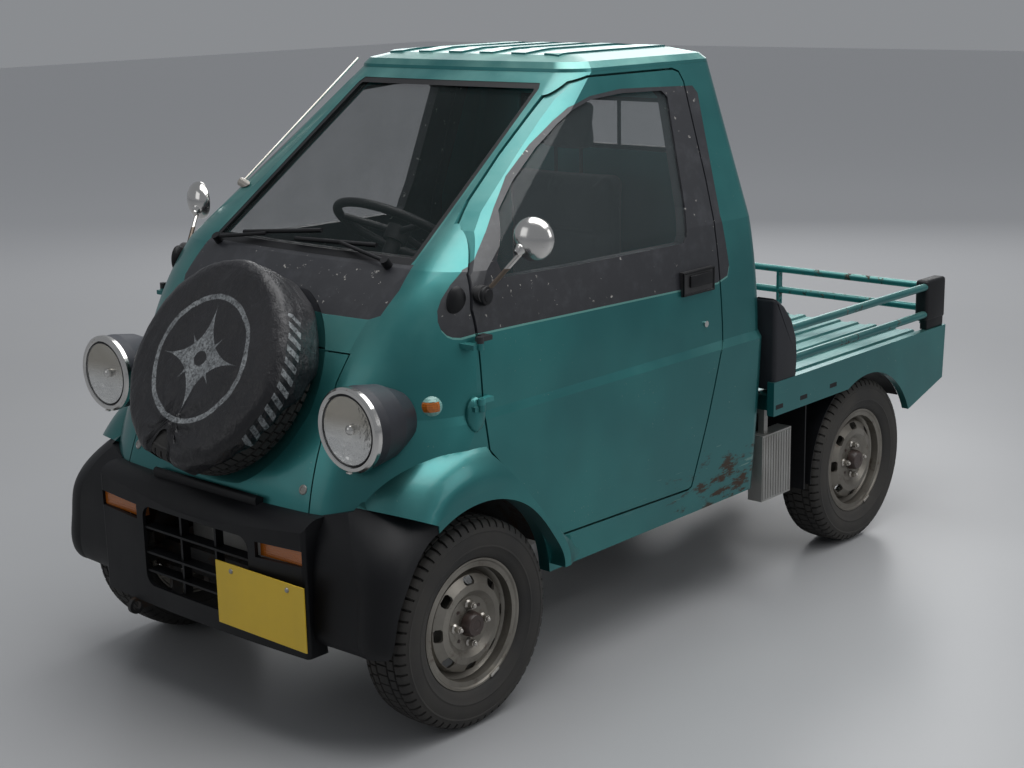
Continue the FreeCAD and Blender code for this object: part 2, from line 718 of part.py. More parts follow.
TURN_LAMP = ((240, 474), (402, 480), (402, 520), (240, 514))
lamp_hole = prism(TURN_LAMP, "XZ", -1340, -1240)
grille_low, grille_high, grille_half = size.grille_bottom, size.grille_top, size.grille_half
GRILLE_ROUND = 34
bend = GRILLE_ROUND * (1 - math.sqrt(0.5))
right_edge = [(grille_half - GRILLE_ROUND, grille_low),
              ((grille_half - bend, grille_low + bend), (grille_half, grille_low + GRILLE_ROUND)),
              (grille_half, grille_high - GRILLE_ROUND),
              ((grille_half - bend, grille_high - bend), (grille_half - GRILLE_ROUND, grille_high))]
left_edge = [(GRILLE_ROUND - grille_half, grille_high),
             ((bend - grille_half, grille_high - bend), (-grille_half, grille_high - GRILLE_ROUND)),
             (-grille_half, grille_low + GRILLE_ROUND),
             ((bend - grille_half, grille_low + bend), (GRILLE_ROUND - grille_half, grille_low))]
grille_hole = prism(right_edge + left_edge, "XZ", -1400, -1200)
bumper_solid = bumper_form(0)
bumper = bumper_solid.cut(bumper_form(size.bumper_wall)).cut(front_arch).cut(skins(-size.seat_gap)).cut(grille_hole)
bumper = bumper.cut(lamp_hole).cut(mirrored(lamp_hole))
lip = prism([(-1262, 584), (-1264, 600), ((-1261, 609), (-1253, 612)), (-1238, 604), (-1238, 584)], "YZ", -206, 206)
made("front_bumper", main_solid(joined([bumper, lip.cut(skins(-size.seat_gap))])))

# Front wheel flares: each bulges out of the fender, from a seam on the skin down to the lip of the arch.
FLARE = (
    # degrees from straight up (+ forwards), seam_x on the skin, seam's reach past the arch, bulge of the section
    (54, 440, 90, 12), (38, 480, 101, 22), (24, 531, 127, 20), (10, 585, 132, 15), (-4, 602, 130, 12),
    (-34, 603, 132, 6), (-62, 597, 132, 3), (-82, 592, 132, 2),
)
LIP = 24
flare_wires = []
for angle, seam_x, reach, bulge in FLARE:
    lip_x, seam_r = size.flare_half, size.arch_radius + reach
    outer_x = (seam_x + lip_x) / 2 + bulge
    outer_r = (seam_r + size.arch_radius + LIP) / 2 + bulge
    wire = outline([(seam_x - 30, size.arch_radius), (lip_x, size.arch_radius), (lip_x, size.arch_radius + LIP),
                    ((outer_x, outer_r), (seam_x, seam_r)), (seam_x - 30, seam_r)], "XZ").OuterWire
    wire.rotate(Vector(0, 0, 0), Vector(1, 0, 0), angle)
    wire.translate(Vector(0, front_axle, arch_z))
    flare_wires.append(wire)
dome = wing_form(0).cut(front_arch).cut(block((0, 484), (-1400, -1000), (0, 900)))
flare = joined([Part.makeLoft(flare_wires, True, False), dome])
door_sweep = prism(grown([(y, z) for x, y, z in DOOR], size.panel_gap + 4), "YZ", PRISM_START, 800)
under_seam = seam_block(-600, size.seat_gap).common(block((0, 800), (-1500, WING_BACK - 0.1), (0, 900)))
flare = flare.cut(under_seam).cut(skins(-size.seat_gap)).cut(door_sweep).cut(bumper_solid)
flare = flare.cut(block((0, 800), (-2000, -200), (0, 342)))
made("front_flares", *both(main_solid(flare)))

# Turn lamps in the bumper, side repeaters in their bezels, and the tail lamps under the bed.
turn_lamp = prism(grown(TURN_LAMP, -size.seat_gap), "XZ", -1284, -1262)
repeater = spun([(-40, 0), (-40, 26), (4, 26), (9, 20), (14, 14), (16, 0)], (552, -988, 838), (0.82, -0.57, 0.1))
repeater = main_solid(repeater.cut(skins(0)))
tail_lamp = joined([block((450, 600), (size.bed_rear - 4.7, size.bed_rear + 8), (470, 540)),
                    block((505, 545), (size.bed_rear - 4.7, size.bed_rear - 1), (530, 584))])
made("signal_lamps", *both(turn_lamp), *both(repeater), *both(tail_lamp))

PLATE_BACK = -1313
plate_low, plate_high = size.plate_z - size.plate_height / 2, size.plate_z + size.plate_height / 2
plate_left, plate_right = size.plate_x - size.plate_width / 2, size.plate_x + size.plate_width / 2
plate = block((plate_left, plate_right), (PLATE_BACK - 3, PLATE_BACK), (plate_low, plate_high))
bracket = block((size.plate_x - 70, size.plate_x + 70), (PLATE_BACK - 1, -1270), (size.plate_z - 50, size.plate_z + 50))
made("number_plate", main_solid(joined([plate, bracket.cut(bumper_form(-size.seat_gap))])))

slat_ends = ("-grille_half + seat_gap", "grille_half - seat_gap")
slats = [box(slat_ends, ("-1298", "-1262"), (f"grille_top - {drop} - 3", f"grille_top - {drop} + 3"))
         for drop in (61, 130, 180)]
posts = [box((f"{x} - 4", f"{x} + 4"), ("-1290", "-1266"), ("grille_bottom + seat_gap", "grille_top - seat_gap"))
         for x in ("-70", "70")]
node(fused(*slats, *posts), "bumper_grille")

# ---------------------------------------------------------------- headlamps
lamp_at = (size.lamp_x, size.lamp_y, size.lamp_z)
AHEAD = (0, -1, 0)
radius, depth = size.lamp_radius, size.lamp_depth
pod = spun([(0, 0), (0, radius - 4), (-30, radius - 3), (-0.46 * depth, radius - 12), (-0.77 * depth, radius - 38),
            (-0.95 * depth, radius - 74), (-depth, 0)], lamp_at, AHEAD)
made("headlamp_pods", *both(main_solid(pod.cut(skins(-size.seat_gap)))))
ring = spun([(0.3, radius - 18), (0.3, radius), (12, radius), (18, radius - 6), (18, radius - 14), (14, radius - 18)],
            lamp_at, AHEAD)
made("headlamp_rims", *both(ring))
made("headlamp_lenses", *both(spun([(0.3, 0), (0.3, radius - 18.3), (13, radius - 18.3), (26, radius / 2), (30, 0)],
                                   lamp_at, AHEAD)))

# ---------------------------------------------------------------- spare wheel
spare_place = Placement(spare_at, Rotation(Vector(1, 0, 0), spare_out))
tyre("spare_tyre", spare_place)
rim("spare_rim", spare_place, False)
COVER_LINE = (
    # reach, radius: the soft cover's outer face, its open back hem and its inner face
    ("tyre_width / 2 + 2.5", "0"), ("tyre_width / 2 + 4", "tyre_radius - 151"),
    ("tyre_width / 2 + 3", "tyre_radius - 31"), ("tyre_width / 2 - 6.5", "tyre_radius - 5.5"),
    ("tyre_width / 2 - 27", "tyre_radius + 3"), ("27 - tyre_width / 2", "tyre_radius + 3"),
    ("6.5 - tyre_width / 2", "tyre_radius - 5.5"), ("-tyre_width / 2 - 2.3", "tyre_radius - 31"),
    ("-tyre_width / 2 - 3.7", "tyre_radius - 66"), ("-tyre_width / 2 - 1.7", "tyre_radius - 66"),
    ("-tyre_width / 2 - 0.3", "tyre_radius - 31"), ("8 - tyre_width / 2", "tyre_radius - 8"),
    ("28 - tyre_width / 2", "tyre_radius + 0.5"), ("tyre_width / 2 - 28", "tyre_radius + 0.5"),
    ("tyre_width / 2 - 8", "tyre_radius - 8"), ("tyre_width / 2 + 0.7", "tyre_radius - 31"),
    ("tyre_width / 2 + 2", "tyre_radius - 151"), ("tyre_width / 2 + 0.5", "0"),
)
cover = doc.addObject("PartDesign::Body", "spare_cover")
turned(cover, polygon(cover, "CoverSection", "XZ_Plane", COVER_LINE), "Sewn")
node(cover, "spare_cover", spare_place)
POCKET_FLOOR = "-(tyre_width / 2 + cover_gap + cover_wall + pocket_gap) + seat_gap"
CARRIER_LINE = (
    # reach, radius: a foot on the pocket's floor, the stem and the plate the spare is bolted to
    (POCKET_FLOOR, "0"), (POCKET_FLOOR, "80"), (f"{POCKET_FLOOR} + 10", "80"), (f"{POCKET_FLOOR} + 10", "28"),
    ("mount_face - rim_wall - 9", "28"), ("mount_face - rim_wall - 9", "stud_circle + 12"),
    ("mount_face - rim_wall - seat_gap", "stud_circle + 12"), ("mount_face - rim_wall - seat_gap", "0"),
)
carrier = doc.addObject("PartDesign::Body", "spare_carrier")
turned(carrier, polygon(carrier, "CarrierSection", "XZ_Plane", CARRIER_LINE), "Stem")
node(carrier, "spare_carrier", spare_place)

# ---------------------------------------------------------------- hinges, mirrors, handles, wipers and antenna
HINGES = (
    # height of the joint, how far the leaves reach in to the skin
    (832, 34), (985, 52),
)
PIN = 5
fixed, swinging = [], []
hinge_x, hinge_y, barrel = size.hinge_x, size.hinge_y, size.hinge_radius
for height, reach in HINGES:
    pin = rod((hinge_x, hinge_y, height - 16), (hinge_x, hinge_y, height + 16), PIN)
    post = rod((hinge_x, hinge_y, height - 16), (hinge_x, hinge_y, height), barrel)
    leaf = block((hinge_x - reach, hinge_x), (hinge_y - 24, hinge_y), (height - 14, height - 2))
    fixed.append(main_solid(joined([pin, post, leaf]).cut(skins(-size.seat_gap))))
    eye = rod((hinge_x, hinge_y, height + 0.3), (hinge_x, hinge_y, height + 16), barrel)
    strap = joined([block((hinge_x - 16, hinge_x), (hinge_y, hinge_y + 44), (height + 2, height + 14)),
                    block((hinge_x - reach, hinge_x), (hinge_y + 24, hinge_y + 44), (height + 2, height + 14))])
    strap = strap.cut(skins(-size.seat_gap)).cut(rod((hinge_x, hinge_y, height), (hinge_x, hinge_y, height + 20), PIN))
    bore = rod((hinge_x, hinge_y, height), (hinge_x, hinge_y, height + 20), PIN + size.running_fit)
    swinging.append(main_solid(joined([eye, strap]).cut(bore)))
made("hinge_brackets", *[solid for shape in fixed for solid in both(shape)])

MIRROR_AT = (650, -722, 1218)
MIRROR_BASE = (572, -826, 1088)
base = rod(Vector(*MIRROR_BASE) - Vector(24, 0, 0), Vector(*MIRROR_BASE) + Vector(18, -4, 4), 22)
stalk = rod(Vector(*MIRROR_BASE) + Vector(8, 0, 0), Vector(*MIRROR_AT) + Vector(-8, 0, -10), 6)
head = spun([(-22, 0), (-20, 18), (-12, 38), (0, 50), (10, 52), (14, 50), (14, 0)], MIRROR_AT, (-0.25, 1, 0))
mirror = main_solid(joined([base, stalk, head]).cut(skins(-size.seat_gap)))
handle = main_solid(block((560, 603), (-36, 111), (962, 1030)).cut(skins(-size.seat_gap)))
lock = main_solid(rod((580, 71, 869), (608, 71, 869), 9).cut(skins(-size.seat_gap)))
fittings = [mirror, handle, lock] + swinging
made("door_fittings_left", *fittings)
made("door_fittings_right", *[mirrored(solid) for solid in fittings])

WIPERS = (
    # pivot, elbow and the blade's two ends, each on the skin: x, y, z
    ((-347, -887, 1147), (-160, -866, 1168), (-250, -868, 1166), (29, -836, 1189)),
    ((322, -893, 1144), (130, -862, 1168), (250, -852, 1172), (-40, -868, 1166)),
)
SCREEN_OUT = Vector(0, -0.62, 0.78)
wipers = []
for pivot, elbow, low, high in WIPERS:
    pivot, elbow, low, high = (Vector(*point) for point in (pivot, elbow, low, high))
    boss = rod(pivot - 20 * SCREEN_OUT, pivot + 24 * SCREEN_OUT, 12)
    arm = rod(pivot + 18 * SCREEN_OUT, elbow + 20 * SCREEN_OUT, 5)
    blade = rod(low + 18 * SCREEN_OUT, high + 18 * SCREEN_OUT, 6)
    wipers.append(main_solid(joined([boss, arm, blade]).cut(skins(-size.seat_gap))))
made("wipers", *wipers)

antenna_low, antenna_high = Vector(-462, -694, 1275), Vector(-398, -280, 1606)
foot = rod(antenna_low - Vector(-30, 0, 10), antenna_low + Vector(-18, 0, 6), 13)
mast = rod(antenna_low + Vector(-14, 0, 4), antenna_high + Vector(-14, 0, 4), 4)
made("antenna", main_solid(joined([foot, mast]).cut(skins(-size.seat_gap))))

# ---------------------------------------------------------------- chassis
RAIL_IN, RAIL_OUT = "frame_x - frame_width / 2", "frame_x + frame_width / 2"
FRAME_TOP = "frame_bottom + frame_depth"
CROSS_MEMBERS = (-1185, -560, 330, 640, 1375)
side_rail = box((RAIL_IN, RAIL_OUT), ("frame_front", "frame_rear"), ("frame_bottom", FRAME_TOP))
horn = box(("frame_x - 15", "frame_x + 15"), ("frame_front - 75", "frame_front + 10"),
           ("frame_bottom + 25", "frame_bottom + 65"))
cross = [box(("-frame_x", "frame_x"), (f"{y} - 25", f"{y} + 25"), ("frame_bottom + 10", f"{FRAME_TOP} - 10"))
         for y in CROSS_MEMBERS]
TOW_Y, TOW_Z = "frame_front - 92", "bumper_bottom - 22"
tow_drop = box(("-frame_x - 6", "6 - frame_x"), ("frame_front + 28", "frame_front + 60"),
               (f"{TOW_Z} - 12", "frame_bottom + 20"))
tow_arm = box(("-frame_x - 6", "6 - frame_x"), (TOW_Y, "frame_front + 40"), (f"{TOW_Z} - 12", f"{TOW_Z} + 12"))
tow_eye = bar("X", ("-frame_x - 6", "6 - frame_x"), TOW_Y, TOW_Z, "22")
tow_hole = bar("X", ("-frame_x - 9", "9 - frame_x"), TOW_Y, TOW_Z, "13")
chassis = fused(side_rail, twin(side_rail), horn, twin(horn), *cross, tow_drop, tow_arm, tow_eye)
node(less(chassis, tow_hole), "chassis")

ENGINE_BACK = 190
engine = box(("-200", "200"), ("-250", str(ENGINE_BACK)), ("engine_bottom", f"{FRAME_TOP} - 4"))
lug = box(("190", f"{RAIL_IN} - seat_gap"), ("-60", "-20"), ("frame_bottom + 30", "frame_bottom + 60"))
node(fused(engine, lug, twin(lug)), "engine_block")

core = box(("-190", "190"), ("-1159.7", "-1128"), ("frame_bottom + 16", "545"))
tanks = [box(("-196", "196"), ("-1159.7", "-1122"), low_high) for low_high in (("515", "548"), ("324", "352"))]
node(fused(core, *tanks), "radiator")

node(box((f"-({RAIL_OUT}) - 250", f"-({RAIL_OUT}) - seat_gap"), ("-470", "-110"), ("232", "385")), "fuel_tank")

SILENCER_X = "-150"
silencer = bar("Y", SILENCER_X, ("1060", "1320"), "245", "48")
pipe = bar("Y", SILENCER_X, (f"{ENGINE_BACK} + seat_gap", "1070"), "220", "15")
tail_pipe = bar("Y", SILENCER_X, ("1310", "1415"), "245", "15")
node(fused(silencer, pipe, tail_pipe), "exhaust")

# ---------------------------------------------------------------- axles and springs
DRUM_BACK = "(track / 2 + mount_face - rim_wall - drum_depth - backing_gap)"
SPINDLE_END = "(track / 2 + mount_face + 20)"
AXLE_LINE = (
    # reach, radius: half of the axle from the spindle's end in to the differential's bulge
    (SPINDLE_END, "0"), (SPINDLE_END, "spindle_radius"), (DRUM_BACK, "spindle_radius"),
    (DRUM_BACK, "drum_radius + 3"), (f"{DRUM_BACK} - backing_plate", "drum_radius + 3"),
    (f"{DRUM_BACK} - backing_plate", "axle_tube"), ("axle_tube * 3", "axle_tube"), ("74", "78"), ("36", "96"),
)
axle = doc.addObject("PartDesign::Body", "rear_axle")
half_line = list(AXLE_LINE)
turned(axle, polygon(axle, "AxleSection", "XZ_Plane",
                     half_line + [(f"-({reach})", rise) for reach, rise in reversed(half_line)]), "Turned")
node(axle, "rear_axle", Placement(Vector(0, size.wheelbase / 2, size.tyre_radius), Rotation()))

LEAVES = (
    # half length as a share of the spring's, number counted from the top leaf
    (1.0, 2), (0.76, 1), (0.53, 0),
)
spring_x, half_leaf, leaf = size.spring_x, 25, size.leaf
seat_z = axle_z + size.axle_tube + size.seat_gap
leaves = []
for share, step in LEAVES:
    span = size.spring_half * share
    low = seat_z + leaf * step
    end = low + 46 * share ** 2
    line = [(rear_axle - span, end), ((rear_axle, low), (rear_axle + span, end)), (rear_axle + span, end + leaf),
            ((rear_axle, low + leaf), (rear_axle - span, end + leaf))]
    leaves.append(prism(line, "YZ", spring_x - half_leaf, spring_x + half_leaf))
clamp = block((spring_x - half_leaf, spring_x + half_leaf), (rear_axle - 30, rear_axle + 30), (seat_z, seat_z + 34))
frame_out = size.frame_x + size.frame_width / 2
frame_top = size.frame_bottom + size.frame_depth
hangers = [block((frame_out + size.seat_gap, spring_x + half_leaf), (y - 12, y + 12), (axle_z + 78, frame_top))
           for y in (rear_axle - size.spring_half, rear_axle + size.spring_half)]
made("leaf_springs", *both(main_solid(joined(leaves + [clamp] + hangers))))

KNUCKLE = (
    # along X or Z, from, to, radius: post, kingpin, neck, brake backing plate and spindle
    ("Z", "tyre_radius - 52", "tyre_radius + 52", "24"),
    ("Z", "tyre_radius - 80", "tyre_radius + 80", "kingpin_radius"),
    ("X", "kingpin_x", f"{DRUM_BACK} - 2", "26"),
    ("X", f"{DRUM_BACK} - backing_plate", DRUM_BACK, "drum_radius + 3"),
    ("X", f"{DRUM_BACK} - backing_plate", SPINDLE_END, "spindle_radius"),
)
parts = [bar("X", (low, high), "-wheelbase / 2", "tyre_radius", thick) if axis == "X" else
         bar("Z", "kingpin_x", "-wheelbase / 2", (low, high), thick) for axis, low, high, thick in KNUCKLE]
steering_arm = box(("kingpin_x - 14", "kingpin_x + 2"), ("-wheelbase / 2", "-wheelbase / 2 + 120"),
                   ("tyre_radius - 46", "tyre_radius - 30"))
knuckle = fused(*parts, steering_arm)
gathered("knuckle_left", knuckle)
node(twin(knuckle), "knuckle_right")

kx = size.kingpin_x
suspension = []
for sign, thick in ((1, 16), (-1, 18)):
    low = axle_z + sign * size.arm_reach - thick / 2
    arm = prism([(frame_out + size.seat_gap, front_axle - 120), (kx - 20, front_axle - 22),
                 (kx + 14, front_axle - 16), (kx + 14, front_axle + 16), (kx - 20, front_axle + 22),
                 (frame_out + size.seat_gap, front_axle + 120)], "XY", low, low + thick)
    eye = rod((kx, front_axle, low - 1), (kx, front_axle, low + thick + 1), size.kingpin_radius + size.running_fit)
    window = prism([(frame_out + 40, front_axle - 60), (kx - 60, front_axle), (frame_out + 40, front_axle + 60)],
                   "XY", low - 1, low + thick + 1)
    suspension.append(arm.cut(eye).cut(window))
strut = rod((kx - 76, front_axle, axle_z - 60), (kx - 76, front_axle, arch_z + size.arch_radius + 1.4), 20)
coil = rod((kx - 76, front_axle, axle_z + 90), (kx - 76, front_axle, axle_z + 300), 36)
spring_seat = block((kx - 120, kx - 40), (front_axle - 40, front_axle + 40), (axle_z - 76, axle_z - 58))
corner = block((frame_out + size.seat_gap, frame_out + 20), (front_axle - 120, front_axle + 120),
               (axle_z - 76, axle_z + 75))
made("front_suspension", *both(main_solid(joined(suspension + [strut, coil, spring_seat, corner]))))

# ---------------------------------------------------------------- load bed
DECK_HALF = "(bed_half - side_wall - seat_gap)"
DECK_LOW = "(deck_height - deck_rib - deck_sheet)"
UNDER = f"({DECK_LOW} - seat_gap)"
deck = [box((f"-{DECK_HALF}", DECK_HALF), ("bed_front", "bed_rear"), (DECK_LOW, f"{DECK_LOW} + deck_sheet"))]
for place in range(-7, 8):
    deck.append(box((f"{place} * bed_half / 8 - 22", f"{place} * bed_half / 8 + 22"),
                    ("bed_front + 20", "bed_rear - 20"), (f"{DECK_LOW} + 1", "deck_height")))
node(fused(*deck), "bed_deck")

BEARERS = ("bed_front + 44", "bed_front + 234", "bed_rear - 190", "bed_rear - 25")
frame_parts = []
for y in BEARERS:
    frame_parts.append(box((f"-{DECK_HALF}", DECK_HALF), (f"{y} - 20", f"{y} + 20"),
                           (f"{UNDER} - bearer_depth", UNDER)))
    stand = box(("frame_x - 22", "frame_x + 22"), (f"{y} - 20", f"{y} + 20"),
                (f"{FRAME_TOP} + seat_gap", f"{UNDER} - 40"))
    frame_parts += [stand, twin(stand)]
sill = box(("frame_x - 22", "frame_x + 22"), ("bed_front + 44", "bed_rear - 25"),
           (f"{UNDER} - bearer_depth", UNDER))
node(fused(*frame_parts, sill, twin(sill)), "bed_frame")


def padded(label, points, low, high):
    """A side-view outline, padded across the truck from low to high."""
    body = doc.addObject("PartDesign::Body", label)
    sketch = polygon(body, "Outline", "YZ_Plane", points)
    bind(sketch, AttachmentOffset__Base__z=low)
    pad = body.newObject("PartDesign::Pad", "Across")
    pad.Profile = sketch
    bind(pad, Length=f"({high}) - ({low})")
    return body


SIDE_PANEL = (
    # y, z round the panel, its wheel arch left as a step for the round cut
    ("bed_front", "side_top"), ("bed_front", "side_top - 104"), ("wheelbase / 2 - 128", "side_top - 104"),
    ("wheelbase / 2 - 120", "tyre_radius + 30"), ("wheelbase / 2 + 230", "tyre_radius + 30"),
    ("wheelbase / 2 + 235", "tyre_radius + 112"), ("bed_rear - 10", "side_top - 184"), ("bed_rear", "side_top"),
)
side_panel = less(padded("SidePanel", SIDE_PANEL, "bed_half - side_wall", "bed_half"),
                  bar("X", ("bed_half - side_wall - 5", "bed_half + 5"), "wheelbase / 2", "tyre_radius", "rear_arch"))
gathered("bed_sides", side_panel, twin(side_panel))

CAP_FRONT = "gate_y - 86"
tubes = [bar("Y", "rail_x", ("bed_front + 116", f"{CAP_FRONT} + 1"), level, "rail_radius")
         for level in ("upper_rail", "lower_rail")]
tubes.append(bar("Z", "rail_x", "bed_front + 130", ("side_top + seat_gap", "upper_rail"), "rail_radius - 2"))
cap = box(("rail_x - 34", "rail_x + 14"), (CAP_FRONT, "bed_rear - 2"), ("side_top + 27", "upper_rail + 22"))
foot = box(("rail_x - 14", "rail_x + 13"), (f"{CAP_FRONT} + 4", "bed_rear - 14"), ("side_top + seat_gap", "side_top + 34"))
pin = bar("X", ("bed_half - 73", "rail_x"), "gate_y", "gate_hinge", "pin_radius")
side_rail = fused(*tubes, cap, foot, pin)
gathered("bed_rails", side_rail, twin(side_rail))

PAD = (
    # y, z of the pad behind the cab's rear corner
    ("bed_front + 3", "deck_height + seat_gap"), ("bed_front + 171", "deck_height + seat_gap"),
    ("bed_front + 171", "deck_height + 90"), ("bed_front + 150", "deck_height + 178"),
    ("bed_front + 36", "deck_height + 268"), ("bed_front + 3", "deck_height + 286"),
)
pad = padded("CornerPad", PAD, "rail_x - 44", "rail_x - rail_radius - 1")
gathered("rail_pads", pad, twin(pad))

GATE_HALF = "(bed_half - 60)"
gate = [bar("X", (f"-{GATE_HALF}", GATE_HALF), "gate_y", level, "rail_radius")
        for level in ("upper_rail - 12", "lower_rail + 6")]
gate += [box((f"{x} - 5", f"{x} + 5"), ("gate_y - 12", "gate_y + 12"), ("gate_hinge - 12", "upper_rail - 12"))
         for x in (f"-{GATE_HALF} + 5", "0", f"{GATE_HALF} - 5")]
gate_bore = bar("X", ("-bed_half", "bed_half"), "gate_y", "gate_hinge", "pin_radius + running_fit")
node(less(fused(*gate), gate_bore), "tail_gate")

guard = box(("470", "bed_half - 32"), ("bed_front + 228", "bed_front + 234"), ("250", f"{UNDER} - bearer_depth - seat_gap"))
gathered("mudguards", guard, twin(guard))
case = box(("bed_half - 92", "bed_half - 42"), ("bed_front + 6", "bed_front + 164"), ("262", "470"))
hanger = box(("bed_half - 76", "bed_half - 56"), ("bed_front + 34", "bed_front + 54"),
             ("460", f"{UNDER} - bearer_depth - seat_gap"))
node(fused(case, hanger), "side_box")

# ---------------------------------------------------------------- cabin
FLOOR_TOP = "floor_height + floor_sheet + seat_gap"
SEAT = (
    # half width, y from, y to, z from, z to: plinth, cushion, backrest and headrest
    ("seat_half - 40", "-260", "150", FLOOR_TOP, "565"), ("seat_half", "-280", "150", "560", "700"),
    ("seat_half - 14", "120", "236", "640", "1270"), ("92", "160", "232", "1320", "1470"),
)
seat = [box((f"-({half})", half), (y_low, y_high), (z_low, z_high)) for half, y_low, y_high, z_low, z_high in SEAT]
seat += [bar("Z", x, "196", ("1260", "1330"), "7") for x in ("-50", "50")]
node(fused(*seat), "seat")

column_axis = Vector(0, 0.55, 0.835).normalize()
wheel_at = Vector(0, -541, 1158)
column_low = wheel_at - 900 * column_axis
column = rod(column_low, wheel_at - 30.3 * column_axis, size.column_radius)
column = column.common(block((-50, 50), (-1500, 0), (floor_top + size.seat_gap, 1400)))
dash = block((-560, 560), (-1050, -700), (850, 1010)).common(skins(inside))
dash = dash.cut(door_prism(3.0)).cut(mirrored(door_prism(3.0)))
dash = dash.cut(rod(column_low, wheel_at, size.column_radius + size.running_fit))
made("dashboard", main_solid(dash))
made("steering_column", main_solid(column))
ring_place = Placement(wheel_at, Rotation(Vector(0, 0, 1), column_axis))
steering = Part.makeTorus(size.wheel_ring, size.ring_radius, wheel_at, column_axis)
spokes = []
for angle in (-25, 90, 205):
    reach = Vector(math.cos(math.radians(angle)), math.sin(math.radians(angle)), 0) * (size.wheel_ring - 8)
    spokes.append(rod(wheel_at, ring_place.multVec(reach), 10))
boss = rod(wheel_at - 30 * column_axis, wheel_at + 12 * column_axis, 34)
made("steering_wheel", main_solid(joined([steering, boss] + spokes)))

# ---------------------------------------------------------------- check and write
doc.recompute()
for item in doc.Objects:
    if "Invalid" in item.State or "Error" in item.State:
        raise RuntimeError(f"{item.Label} failed: {item.State}")
for item in nodes:
    if item.Shape.isNull() or not item.Shape.isValid():
        raise RuntimeError(f"{item.Label} has no valid shape")
    item.Shape.exportStep(f"parts/{item.Label}.step")
print(len(nodes), "sub-parts")
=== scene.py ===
import math

import bmesh
import bpy
from mathutils import Matrix, Vector, noise


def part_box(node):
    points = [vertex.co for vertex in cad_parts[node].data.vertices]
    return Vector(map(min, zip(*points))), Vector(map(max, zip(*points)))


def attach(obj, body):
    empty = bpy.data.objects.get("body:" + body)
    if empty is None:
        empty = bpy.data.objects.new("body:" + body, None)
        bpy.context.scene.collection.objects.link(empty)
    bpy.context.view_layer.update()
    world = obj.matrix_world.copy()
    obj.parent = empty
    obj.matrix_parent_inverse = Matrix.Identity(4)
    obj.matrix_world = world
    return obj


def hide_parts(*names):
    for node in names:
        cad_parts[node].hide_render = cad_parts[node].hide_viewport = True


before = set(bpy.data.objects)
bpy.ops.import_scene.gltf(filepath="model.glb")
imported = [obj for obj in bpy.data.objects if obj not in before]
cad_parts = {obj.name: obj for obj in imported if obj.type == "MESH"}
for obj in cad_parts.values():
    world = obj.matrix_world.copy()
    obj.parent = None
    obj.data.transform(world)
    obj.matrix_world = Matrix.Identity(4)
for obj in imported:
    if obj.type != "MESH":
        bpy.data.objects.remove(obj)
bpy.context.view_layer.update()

# -------------------- body panels
# Pressed steel panels of the cab and bed, sprayed a metallic teal. The paint is old: dusty on top, scuffed
# and rusting along the sills, with a black satin band round the side windows and under the windscreen. A thin
# mint line under the band is a painted highlight, and the roof's heavier dust is partly a painted highlight
# too.


class Signal:
    """One value in a material. Sums on it add the nodes."""

    def __init__(self, finish, socket):
        self.finish = finish
        self.socket = socket

    def sum(self, operation, *values):
        return self.finish.add("ShaderNodeMath", {"operation": operation}, dict(enumerate(values)))

    def __add__(self, other):
        return self.sum("ADD", self, other)

    def __radd__(self, other):
        return self.sum("ADD", other, self)

    def __sub__(self, other):
        return self.sum("SUBTRACT", self, other)

    def __rsub__(self, other):
        return self.sum("SUBTRACT", other, self)

    def __mul__(self, other):
        return self.sum("MULTIPLY", self, other)

    def __rmul__(self, other):
        return self.sum("MULTIPLY", other, self)

    def over(self, edge):
        return self.sum("GREATER_THAN", self, edge)

    def under(self, edge):
        return self.sum("LESS_THAN", self, edge)

    def most(self, other):
        return self.sum("MAXIMUM", self, other)

    def size(self):
        return self.sum("ABSOLUTE", self)

    def root(self):
        return self.sum("SQRT", self)

    def sine(self):
        return self.sum("SINE", self)

    def rise(self, low, high):
        """0 below low, 1 above high, and smooth between."""
        return self.finish.add("ShaderNodeMapRange", {"interpolation_type": "SMOOTHSTEP"},
                               {"Value": self, "From Min": low, "From Max": high})


